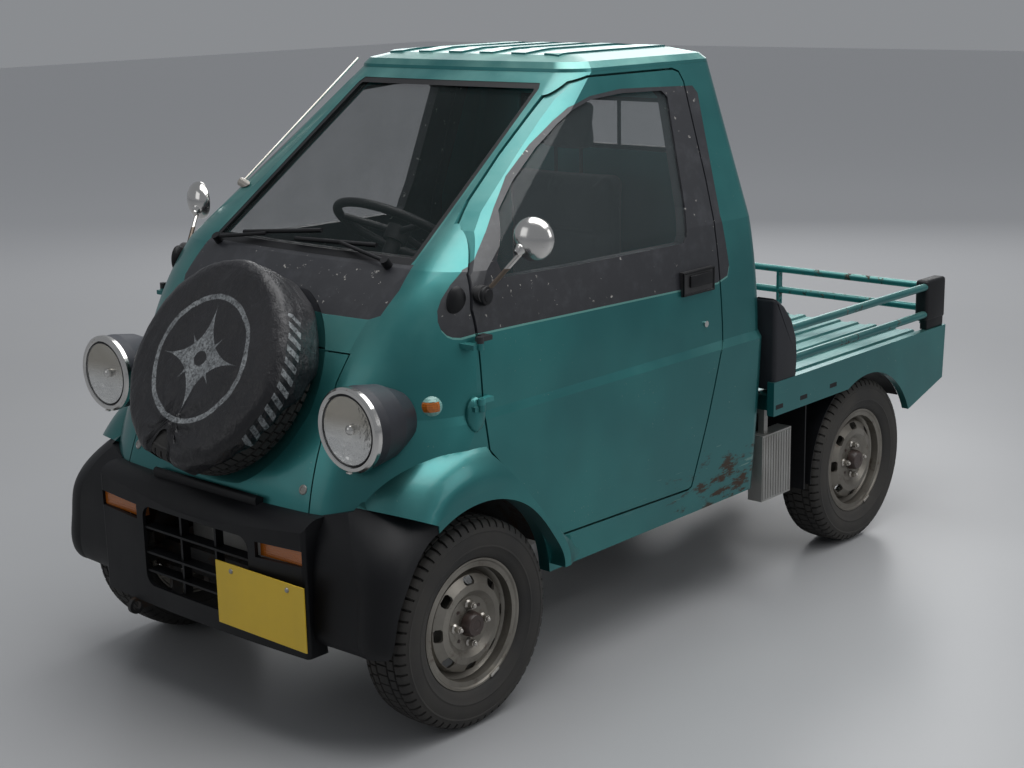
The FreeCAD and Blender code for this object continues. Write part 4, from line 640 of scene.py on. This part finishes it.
# -------------------- spare wheel cover
# A black leathercloth bag pulled over the spare, sewn from a disc and a strip. Its hem is drawn in behind
# the tyre. Low on the left it has ridden up and shows the tread, and below it is gathered into a notch.
COVER_PATH = (
    # millimetres out from the tyre's middle plane, radius: from the middle of the face round to the back
    (74.6, 0), (75.8, 60), (76.5, 120), (76.2, 180), (75.5, 236), (72.5, 254), (66.0, 265.8), (56.0, 272.0),
    (44.0, 274.4), (22.0, 275.2), (0.0, 275.4), (-22.0, 275.2), (-44.0, 274.4), (-57.0, 271.8),
    (-67.0, 265.0), (-74.5, 240.0), (-76.0, 205.0),
)
# millimetres along that path, and angles round from the top
HEM, RIDDEN, NOTCH_TOP = 452.0, 138.0, 196.0
RIDDEN_AT, NOTCH_AT, NOTCH_HALF = math.radians(143), math.radians(189), math.radians(12)


def along_path(length):
    """The point so far along the cover's path: reach and radius."""
    for (reach, radius), (next_reach, next_radius) in zip(COVER_PATH, COVER_PATH[1:]):
        step = math.hypot(next_reach - reach, next_radius - radius)
        if length <= step:
            share = length / step
            return reach + (next_reach - reach) * share, radius + (next_radius - radius) * share
        length -= step
    return COVER_PATH[-1]


def hem_length(turn):
    """How far from the middle of the face the cloth reaches, at an angle from the top."""
    off = turn - RIDDEN_AT
    lifted = max(0.0, math.cos(off * 1.25)) if abs(off) < 1.26 else 0.0
    length = HEM - RIDDEN * lifted ** 0.6 + 5 * math.sin(turn * 9) + 3 * math.sin(turn * 23 + 1)
    off = abs(turn - NOTCH_AT) / NOTCH_HALF
    if off < 1.0:
        length = NOTCH_TOP + (length - NOTCH_TOP) * off ** 2.6
    return length


bm = bmesh.new()
spoke = [bm.verts.new((0, 0, share / 72)) for share in range(73)]
bmesh.ops.spin(bm, geom=spoke + [bm.edges.new(pair) for pair in zip(spoke, spoke[1:])], cent=(0, 0, 0),
               axis=(1, 0, 0), angle=math.tau, steps=240, use_merge=True)
bmesh.ops.remove_doubles(bm, verts=bm.verts[:], dist=WELD / 2)
apex = Vector((math.sin(NOTCH_AT), math.cos(NOTCH_AT))) * (NOTCH_TOP - 6)
for corner in bm.verts:
    share = math.hypot(corner.co.y, corner.co.z)
    turn = math.atan2(corner.co.y, corner.co.z) % math.tau
    reach, radius = along_path(share * hem_length(turn))
    flat = Vector((math.sin(turn), math.cos(turn))) * radius
    away = flat - apex
    fade = math.exp(-away.length / 75) * min(1, away.length / 20)
    pleat = math.sin(math.atan2(away.x, away.y) * 11) * 6.5 * fade
    swell = noise.noise(Vector((reach, flat.x, flat.y)) / 95.0 + Vector((3.1, 0, 0))) * 7.0
    creases = abs(noise.noise(Vector((reach * 1.3, flat.x, flat.y * 0.6)) / 38.0 + Vector((0, 7.7, 0))))
    drape = math.sin(turn * 17 + 2 * math.sin(turn * 3)) * 2.4 * max(0.0, share - 0.72) / 0.28
    lift = pleat + swell * 0.7 - creases * 5.2 + 2.6
    if radius < 250 and reach > 0:
        reach += lift
    else:
        radius += max(-1.0, lift * 0.8 + drape)
    corner.co = Vector((reach, math.sin(turn) * radius, math.cos(turn) * radius)) / 1000
bmesh.ops.smooth_vert(bm, verts=bm.verts[:], factor=0.4, use_axis_x=True, use_axis_y=True, use_axis_z=True)
bmesh.ops.recalc_face_normals(bm, faces=bm.faces[:])
cover_finish = Finish("cover leathercloth")
from_hub = cover_finish.add("ShaderNodeVectorMath", {"operation": "SUBTRACT"},
                            {0: cover_finish.place, 1: spare_at.translation[:]})


def measured(axis):
    """How far a point lies along an axis from the spare's middle."""
    return cover_finish.add("ShaderNodeVectorMath", {"operation": "DOT_PRODUCT"}, {0: from_hub, 1: axis[:]},
                            "Value")


out, right, up = (measured(spare_at.to_3x3().col[index]) for index in range(3))
radial = (right * right + up * up).root()
STAR, SMALL_STAR, RING, HEART = 0.150, 0.090, (0.158, 0.172), 0.020
star = (right.size().root() + up.size().root()).under(math.sqrt(STAR))
cross_a = (right + up) * math.sqrt(0.5)
cross_b = (right - up) * math.sqrt(0.5)
small = (cross_a.size().root() + cross_b.size().root()).under(math.sqrt(SMALL_STAR))
ring = radial.over(RING[0]) * radial.under(RING[1])
heart = 1.0 - radial.under(HEART)
face_print = star.most(small).most(ring) * heart * out.over(0.060)
angle = right.sum("ARCTAN2", right, up)
stripes = (angle * 56.0 + out * 90.0).sine().over(0.0)
side_print = stripes * angle.over(0.95) * angle.under(2.25) * out.over(0.010) * out.under(0.052)
printed = face_print.most(side_print) * cover_finish.noise(130.0, 5.0, 0.75).rise(0.30, 0.62) * 0.92
base = cover_finish.mix(wear(cover_finish, 0.7, 0.3), rgb(0.006, 0.006, 0.0075), rgb(0.024, 0.024, 0.028))
ink = cover_finish.mix(cover_finish.noise(22.0, 5.0).rise(0.35, 0.7), rgb(0.20, 0.215, 0.225),
                       rgb(0.30, 0.32, 0.33))
grain = cover_finish.cells(620.0) * 0.3 + cover_finish.noise(36.0, 5.0, 0.6)
crinkle = 1.0 - (cover_finish.noise(9.0, 6.0, 0.6, (1.0, 1.0, 0.7)) - 0.5).size() * 5.0
cover_cloth = cover_finish.surface(
    Base_Color=cover_finish.mix(printed, base, ink), Roughness=wear(cover_finish, 0.25, 0.3) + 0.28,
    Specular_IOR_Level=0.45, Normal=cover_finish.bump(grain * 0.3 + crinkle, 0.006, 0.6))
cover = placed(bm, "wheel_cover", cover_cloth, spare_at, smooth=False)
cover.data.shade_smooth()
wall = cover.modifiers.new("thickness", "SOLIDIFY")
wall.thickness = 0.0014
wall.offset = 1.0
keep(cover, "truck", "spare_cover")

# -------------------- chassis
frame_finish = Finish("frame steel")
flaking = frame_finish.noise(18.0, 8.0, 0.7).rise(0.45, 0.62)
frame_steel = frame_finish.surface(
    Base_Color=frame_finish.mix(flaking, rgb(0.018, 0.018, 0.018), RUST), Roughness=flaking * 0.3 + 0.5,
    Metallic=0.2, Normal=frame_finish.bump(frame_finish.noise(90.0, 6.0), 0.001, 0.6))
dress(frame_steel, "chassis", "rear_axle", "leaf_springs", "knuckle_left", "knuckle_right",
      "front_suspension", "exhaust", "fuel_tank", "cab_floor")
alloy_finish = Finish("cast alloy")
alloy = alloy_finish.surface(
    Base_Color=alloy_finish.mix(wear(alloy_finish, 0.8, 0.25), rgb(0.42, 0.42, 0.41), rgb(0.13, 0.12, 0.10)),
    Metallic=0.7, Roughness=0.5, Normal=alloy_finish.bump(alloy_finish.noise(150.0), 0.0008))
dress(alloy, "engine_block", "radiator", "side_box")
plate_finish = Finish("plate paint")
dress(plate_finish.surface(
    Base_Color=plate_finish.mix(wear(plate_finish, 0.4, 0.3), rgb(0.74, 0.50, 0.035), rgb(0.36, 0.26, 0.05)),
    Roughness=0.45), "number_plate")

# -------------------- bed rails, caps and corner pads
# Two painted tubes run along each side of the bed. They end in a black moulded cap over the gate's hinge pin
# and, behind the cab, in a thick black pad.
RAIL_X, RAIL_RADIUS, RAIL_FRONT, RAIL_REAR = 0.628, 0.0125, 0.432, 1.272
UPPER_RAIL, LOWER_RAIL, SIDE_TOP = 0.790, 0.696, 0.6443
GATE_Y, GATE_PIN = 1.351, 0.660
PAD_OUTLINE = (
    # Y and height round the side of a pad
    (0.336, 0.616), (0.438, 0.616), (0.460, 0.642), (0.464, 0.705), (0.458, 0.762), (0.431, 0.822),
    (0.389, 0.868), (0.350, 0.894), (0.336, 0.898),
)


def rod(length, radius, place, steps=20):
    """A round bar from a place along its X axis, its ends eased."""
    ease = radius * 0.15
    return spun([(0, 0), (0, radius - ease), (ease, radius), (length - ease, radius), (length, radius - ease),
                 (length, 0)], place, steps)


def rounded_box(low, high, radius, segments=3):
    """A box between two corners, its edges rounded."""
    low, high = Vector(low), Vector(high)
    return eased(block((low + high) / 2, [abs(step) for step in high - low]), radius, segments)


ALONG_Y, UPRIGHT = Matrix.Rotation(math.pi / 2, 4, "Z"), Matrix.Rotation(-math.pi / 2, 4, "Y")
PAD_X, PAD_WIDTH = 0.568, 0.0752
PIN_X, PIN_RADIUS = 0.572, 0.006
tubes, caps, pads = [], [], []
for side in (1, -1):
    for level in (UPPER_RAIL, LOWER_RAIL):
        front_end = Matrix.Translation((RAIL_X * side, RAIL_FRONT, level))
        tubes.append(rod(RAIL_REAR - RAIL_FRONT, RAIL_RADIUS, front_end @ ALONG_Y))
    pin_end = Matrix.Translation((min(PIN_X * side, RAIL_X * side), GATE_Y, GATE_PIN))
    tubes.append(rod(RAIL_X - PIN_X, PIN_RADIUS, pin_end))
    caps.append(rounded_box((0.594 * side, 1.265, 0.671), (0.642 * side, 1.393, 0.812), 0.011, 4))
    caps.append(rounded_box((0.614 * side, 1.269, SIDE_TOP), (0.641 * side, 1.381, 0.680), 0.003))
    form = bmesh.new()
    outline = form.faces.new([form.verts.new((PAD_X * side, y, z)) for y, z in PAD_OUTLINE])
    grown = bmesh.ops.extrude_face_region(form, geom=[outline])["geom"]
    grown = [corner for corner in grown if isinstance(corner, bmesh.types.BMVert)]
    bmesh.ops.translate(form, vec=(PAD_WIDTH * side, 0, 0), verts=grown)
    bmesh.ops.recalc_face_normals(form, faces=form.faces[:])
    pads.append(eased(form, 0.013, 4))
pad_plastic = moulded("pad moulding", 0.009, 240.0, 0.8, 4.0)
keep(placed(merged(tubes), "bed_rail_tubes", worn_paint), "truck", "bed_rails")
keep(placed(merged(caps), "rail_caps", black_plastic), "truck")
keep(placed(merged(pads), "corner_pads", pad_plastic), "truck", "rail_pads")

# -------------------- bed deck
# A sheet of steel pressed with shallow ribs from front to back, turned down over the tail of the bed.
DECK_HALF, DECK_FRONT, DECK_REAR, DECK_EDGE = 0.6205, 0.3315, 1.3930, 0.5960
DECK_LOW, DECK_HIGH = 0.6045, 0.6110
RIBS, RIB_PITCH, RIB_FOOT, RIB_TOP = 17, 0.0730, 0.019, 0.013
profile = [(-DECK_HALF, DECK_LOW)]
for index in range(RIBS):
    x = (index - (RIBS - 1) / 2) * RIB_PITCH
    profile += [(x - RIB_FOOT, DECK_LOW), (x - RIB_TOP, DECK_HIGH), (x + RIB_TOP, DECK_HIGH),
                (x + RIB_FOOT, DECK_LOW)]
profile.append((DECK_HALF, DECK_LOW))
form = bmesh.new()
corners = [form.verts.new((x, DECK_FRONT, z)) for x, z in profile]
edges = [form.edges.new(pair) for pair in zip(corners, corners[1:])]
sheet = bmesh.ops.extrude_edge_only(form, edges=edges)["geom"]
far = [corner for corner in sheet if isinstance(corner, bmesh.types.BMVert)]
bmesh.ops.translate(form, vec=(0, DECK_REAR - DECK_FRONT, 0), verts=far)
sheet_edges = [edge for edge in sheet if isinstance(edge, bmesh.types.BMEdge)]
tail_edges = [edge for edge in sheet_edges if all(corner in far for corner in edge.verts)]
for corner in bmesh.ops.extrude_edge_only(form, edges=tail_edges)["geom"]:
    if isinstance(corner, bmesh.types.BMVert):
        corner.co.z = DECK_EDGE
bmesh.ops.recalc_face_normals(form, faces=form.faces[:])
bmesh.ops.solidify(form, geom=form.faces[:], thickness=0.0012)
keep(placed(form, "deck_sheet", bed_paint), "truck", "bed_deck")

# -------------------- rear wheel arches and bed sides
# A black inner arch is bolted under the bed over each rear wheel. The sides are pierced near the front for
# rope hooks, and the deck at its edges to drain. The holes are not cut: thin dark pads on the surface are
# painted shadow in them.
ARCH_AT, ARCH_RADIUS = (0.885, 0.271), 0.2975
ARCH_SECTION = ((0.455, 0.185), (0.455, ARCH_RADIUS), (0.619, ARCH_RADIUS))
ARCH_START, ARCH_SWEEP = math.radians(92), math.radians(146)
HOOK_SLOTS, DRAIN_SLOTS = ((0.362, 0.566), (0.497, 0.568), (0.668, 0.572)), (0.640, 0.860)
arches, slot_shadow_pads = [], []
for side in (1, -1):
    form = bmesh.new()
    corners = [form.verts.new((x * side, 0, radius)) for x, radius in ARCH_SECTION]
    edges = [form.edges.new(pair) for pair in zip(corners, corners[1:])]
    bmesh.ops.rotate(form, matrix=Matrix.Rotation(ARCH_START, 3, "X"), verts=corners)
    bmesh.ops.spin(form, geom=corners + edges, cent=(0, 0, 0), axis=(1, 0, 0), angle=-ARCH_SWEEP, steps=30)
    bmesh.ops.recalc_face_normals(form, faces=form.faces[:])
    bmesh.ops.solidify(form, geom=form.faces[:], thickness=0.002)
    bmesh.ops.translate(form, vec=(0, *ARCH_AT), verts=form.verts[:])
    arches.append(form)
    # Thin dark pads over the hook holes and drain holes: painted shadow.
    for y, z in HOOK_SLOTS:
        low, high = (0.6440 * side, y - 0.020, z - 0.007), (0.6456 * side, y + 0.020, z + 0.007)
        slot_shadow_pads.append(rounded_box(low, high, 0.0006, 1))
    for y in DRAIN_SLOTS:
        low, high = (0.574 * side, y - 0.011, 0.6040), (0.590 * side, y + 0.011, 0.6064)
        slot_shadow_pads.append(rounded_box(low, high, 0.0005, 1))
keep(placed(merged(arches), "inner_arches", black_plastic), "truck")
slot_shadow = moulded("slot shadow", 0.004, 300.0, 0.1, 2.0)
keep(placed(merged(slot_shadow_pads), "bed_slot_shadows", slot_shadow), "truck")

# -------------------- side box
# A cast light-alloy case, finned up its outer face, hung from the bed's frame ahead of the left rear wheel.
FINS, FIRST_FIN, FIN_PITCH, HALF_FIN = 11, 0.345, 0.0142, 0.0036
fins = []
for index in range(FINS):
    y = FIRST_FIN + index * FIN_PITCH
    fins.append(rounded_box((0.602, y - HALF_FIN, 0.268), (0.6055, y + HALF_FIN, 0.464), 0.0012, 2))
keep(placed(merged(fins), "box_fins", alloy), "truck")

# -------------------- bonnet fasteners and plate bolts
# Two dished fasteners hold the lift-off bonnet at its lower corners, and two bolts the blank number plate.
FASTENER = (
    (-0.004, 0), (-0.004, 0.0125), (0.0015, 0.0125), (0.0030, 0.0105), (0.0030, 0.0075), (0.0018, 0.0070),
    (0.0018, 0),
)
BOLT = ((-0.001, 0), (-0.001, 0.0068), (0.0008, 0.0066), (0.0030, 0.0052), (0.0042, 0.0025), (0.0044, 0))
PLATE_X, BOLT_SPREAD = 0.265, 0.105
TO_FRONT = Matrix.Rotation(-math.pi / 2, 4, "Z")
fasteners = []
for side in (1, -1):
    corner = Matrix.Translation((0.330 * side, -1.2498, 0.642)) @ facing((0.088 * side, -0.934, 0.347))
    fasteners.append(spun(FASTENER, corner, 28))
    in_plate = Matrix.Translation((PLATE_X + BOLT_SPREAD * side, -1.3512, 0.423))
    fasteners.append(spun(BOLT, in_plate @ TO_FRONT, 20))
keep(placed(merged(fasteners), "panel_fasteners", alloy), "truck")

# -------------------- rear window bars and hinge covers
# Two bars guard the rear window. A pressed dome covers the front of each door hinge, the upper one black like
# the window band.
BAR_X, HALF_BAR = 0.100, 0.006
bars = [rounded_box((x - HALF_BAR, 0.2815, 1.3270), (x + HALF_BAR, 0.2885, 1.4620), 0.002, 2)
        for x in (-BAR_X, BAR_X)]
keep(placed(merged(bars), "window_bars", black_plastic), "truck")
HINGE_COVERS = (
    # name, middle, half sizes, finish, slot
    ("low", (0.604, -0.926, 0.806), (0.0175, 0.0270, 0.0450), plain_paint, "body_paint"),
    ("high", (0.544, -0.918, 1.074), (0.0150, 0.0280, 0.0420), black_plastic, "black_paint"),
)
for label, (x, y, z), half_sizes, paint, slot in HINGE_COVERS:
    domes = []
    for side in (1, -1):
        on_skin = Matrix.Translation((x * side, y, z)) @ Matrix.Rotation(-0.25 * side, 4, "Z")
        dome = bmesh.new()
        bmesh.ops.create_uvsphere(dome, u_segments=28, v_segments=18, radius=1.0,
                                  matrix=on_skin @ Matrix.Diagonal((*half_sizes, 1)))
        domes.append(dome)
    keep(placed(merged(domes), f"hinge_covers_{label}", paint), "truck")

# -------------------- seat
# One seat on a sheet-steel box: foam cushion, backrest and head restraint in a charcoal woven cover. Two sewn
# channels cross the cushion and the backrest, and two rods carry the head restraint.
seat_finish = Finish("seat cloth")
weft = (seat_finish.axis("Z") * 2400.0 + seat_finish.axis("Y") * 2400.0).sine()
weave = (seat_finish.axis("X") * 2400.0).sine() * weft
faded = wear(seat_finish, 0.7, 0.3)
seat_cloth = seat_finish.surface(
    Base_Color=seat_finish.mix(faded * 0.7 + weave * 0.1 + 0.1, rgb(0.030, 0.030, 0.033),
                               rgb(0.105, 0.105, 0.110)),
    Roughness=faded * 0.1 + 0.84, Sheen_Weight=0.3, Normal=seat_finish.bump(weave, 0.0006, 0.6))
PADS = (
    # name, low corner, high corner, the axis its sewn channels run across and where, fill
    ("seat_cushion", (-0.224, -0.309, 0.572), (0.224, 0.100, 0.694), "Y", (-0.19, 0.0), 0.8),
    ("seat_back", (-0.210, 0.096, 0.700), (0.210, 0.190, 1.262), "Z", (0.88, 1.08), 0.8),
    ("head_restraint", (-0.087, 0.130, 1.326), (0.087, 0.192, 1.464), "Z", (), 0.9),
)
SWELL, PRESSURE, SETTLING = 0.012, 4.0, 20
CHANNEL_DEPTH = CHANNEL_WIDTH = 0.009


def stuffed(piece):
    """The cover swells over its foam, no further than SWELL."""
    foam = [corner.co.copy() for corner in piece.data.vertices]
    stuffing = piece.modifiers.new("stuffing", "CLOTH")
    stuffing.settings.use_pressure = True
    stuffing.settings.uniform_pressure_force = PRESSURE
    stuffing.settings.effector_weights.gravity = 0.0
    for step in range(1, SETTLING + 1):
        bpy.context.scene.frame_set(step)
    swollen = piece.evaluated_get(bpy.context.evaluated_depsgraph_get())
    ends = [corner.co.copy() for corner in swollen.data.vertices]
    piece.modifiers.remove(stuffing)
    bpy.context.scene.frame_set(1)
    for corner, start, end in zip(piece.data.vertices, foam, ends):
        move = end - start
        corner.co = start + move * min(1.0, SWELL / max(move.length, 1e-6))


for name, low, high, across, channels, fill in PADS:
    low, high = Vector(low), Vector(high)
    centre, half = (low + high) / 2, (high - low) / 2
    bm = rounded_box(low, high, min(half) * 0.55, 4)
    for corner in bm.verts:
        off = [(corner.co[axis] - centre[axis]) / half[axis] for axis in range(3)]
        reach = [abs(value) ** 3 for value in off]
        for axis in range(3):
            corner.co[axis] -= off[axis] * half[axis] * 0.05 * reach[(axis + 1) % 3] * reach[(axis + 2) % 3]
    pad = placed(bm, name + "_form", seat_cloth, Matrix())
    fine = pad.modifiers.new("fine", "REMESH")
    fine.mode, fine.voxel_size = "VOXEL", 0.006
    mesh = bpy.data.meshes.new_from_object(pad.evaluated_get(bpy.context.evaluated_depsgraph_get()))
    bpy.data.objects.remove(pad)
    mesh.name = name
    mesh.materials.clear()
    mesh.materials.append(seat_cloth)
    pad = bpy.data.objects.new(name, mesh)
    bpy.context.scene.collection.objects.link(pad)
    stuffed(pad)
    axis = "XYZ".index(across)
    for corner in mesh.vertices:
        for line in channels:
            sink = CHANNEL_DEPTH * math.exp(-((corner.co[axis] - line) / CHANNEL_WIDTH) ** 2)
            if name == "seat_back":
                corner.co.y += sink if corner.co.y < centre.y else 0.0
            elif corner.co.z > centre.z:
                corner.co.z -= sink
    mesh.shade_smooth()
    smooth = pad.modifiers.new("smooth", "SUBSURF")
    smooth.levels = smooth.render_levels = 1
    keep(pad, "truck", "seat" if name == "seat_cushion" else None)
base = [rounded_box((-0.180, -0.265, 0.4165), (0.180, 0.095, 0.566), 0.006, 2)]
for side in (1, -1):
    base.append(rod(0.115, 0.0055, Matrix.Translation((0.050 * side, 0.161, 1.235)) @ UPRIGHT))
keep(placed(merged(base), "seat_base", frame_steel), "truck")

# -------------------- studio
# A plain pale floor, a large soft lamp overhead and weaker ones round the truck.
bm = bmesh.new()
bmesh.ops.create_grid(bm, x_segments=1, y_segments=1, size=30.0)
floor_mesh = bpy.data.meshes.new("floor")
bm.to_mesh(floor_mesh)
bm.free()
floor = bpy.data.objects.new("floor", floor_mesh)
bpy.context.scene.collection.objects.link(floor)
floor_finish = Finish("floor")
away = floor_finish.add("ShaderNodeVectorMath", {"operation": "LENGTH"}, {0: floor_finish.place}, "Value")
near = floor_finish.mix(floor_finish.noise(0.8, 4.0), rgb(0.33, 0.335, 0.345), rgb(0.37, 0.375, 0.38))
floor_mesh.materials.append(floor_finish.surface(
    Base_Color=floor_finish.mix(away.rise(2.5, 10.0), near, rgb(0.72, 0.725, 0.74)), Roughness=0.35))

world = bpy.data.worlds.new("studio")
bpy.context.scene.world = world
world.use_nodes = True
world.node_tree.nodes["Background"].inputs["Color"].default_value = rgb(0.55, 0.57, 0.60)
world.node_tree.nodes["Background"].inputs["Strength"].default_value = 0.46


def lamp(name, at, towards, size, watts):
    """A soft rectangular lamp that faces a point."""
    light = bpy.data.lights.new(name, "AREA")
    light.shape = "RECTANGLE"
    light.size, light.size_y = size
    light.energy = watts
    holder = bpy.data.objects.new(name, light)
    holder.location = at
    holder.rotation_euler = (Vector(towards) - Vector(at)).to_track_quat("-Z", "Y").to_euler()
    bpy.context.scene.collection.objects.link(holder)


lamp("overhead", (0.6, 0.2, 4.6), (0.0, 0.0, 0.6), (5.0, 5.0), 250)
lamp("rear high", (-3.6, 5.2, 3.4), (0.0, 0.0, 0.9), (5.0, 2.5), 110)
lamp("left side", (5.5, 1.5, 3.2), (0.0, 0.0, 0.8), (3.0, 3.0), 52)
lamp("front", (-2.5, -6.0, 3.0), (0.0, 0.0, 0.8), (3.0, 3.0), 20)

camera_data = bpy.data.cameras.new("camera")
camera_data.sensor_width = 36.0
camera_data.lens = 59.305
camera = bpy.data.objects.new("camera", camera_data)
bpy.context.scene.collection.objects.link(camera)
yaw, pitch, roll = 0.73288, 0.24048, -0.02093
camera.matrix_world = (Matrix.Translation((3.3263, -3.8145, 1.8539)) @ Matrix.Rotation(yaw, 4, "Z")
                       @ Matrix.Rotation(math.pi / 2 - pitch, 4, "X") @ Matrix.Rotation(roll, 4, "Z"))
bpy.context.scene.camera = camera
bpy.context.scene.view_settings.view_transform = "Standard"
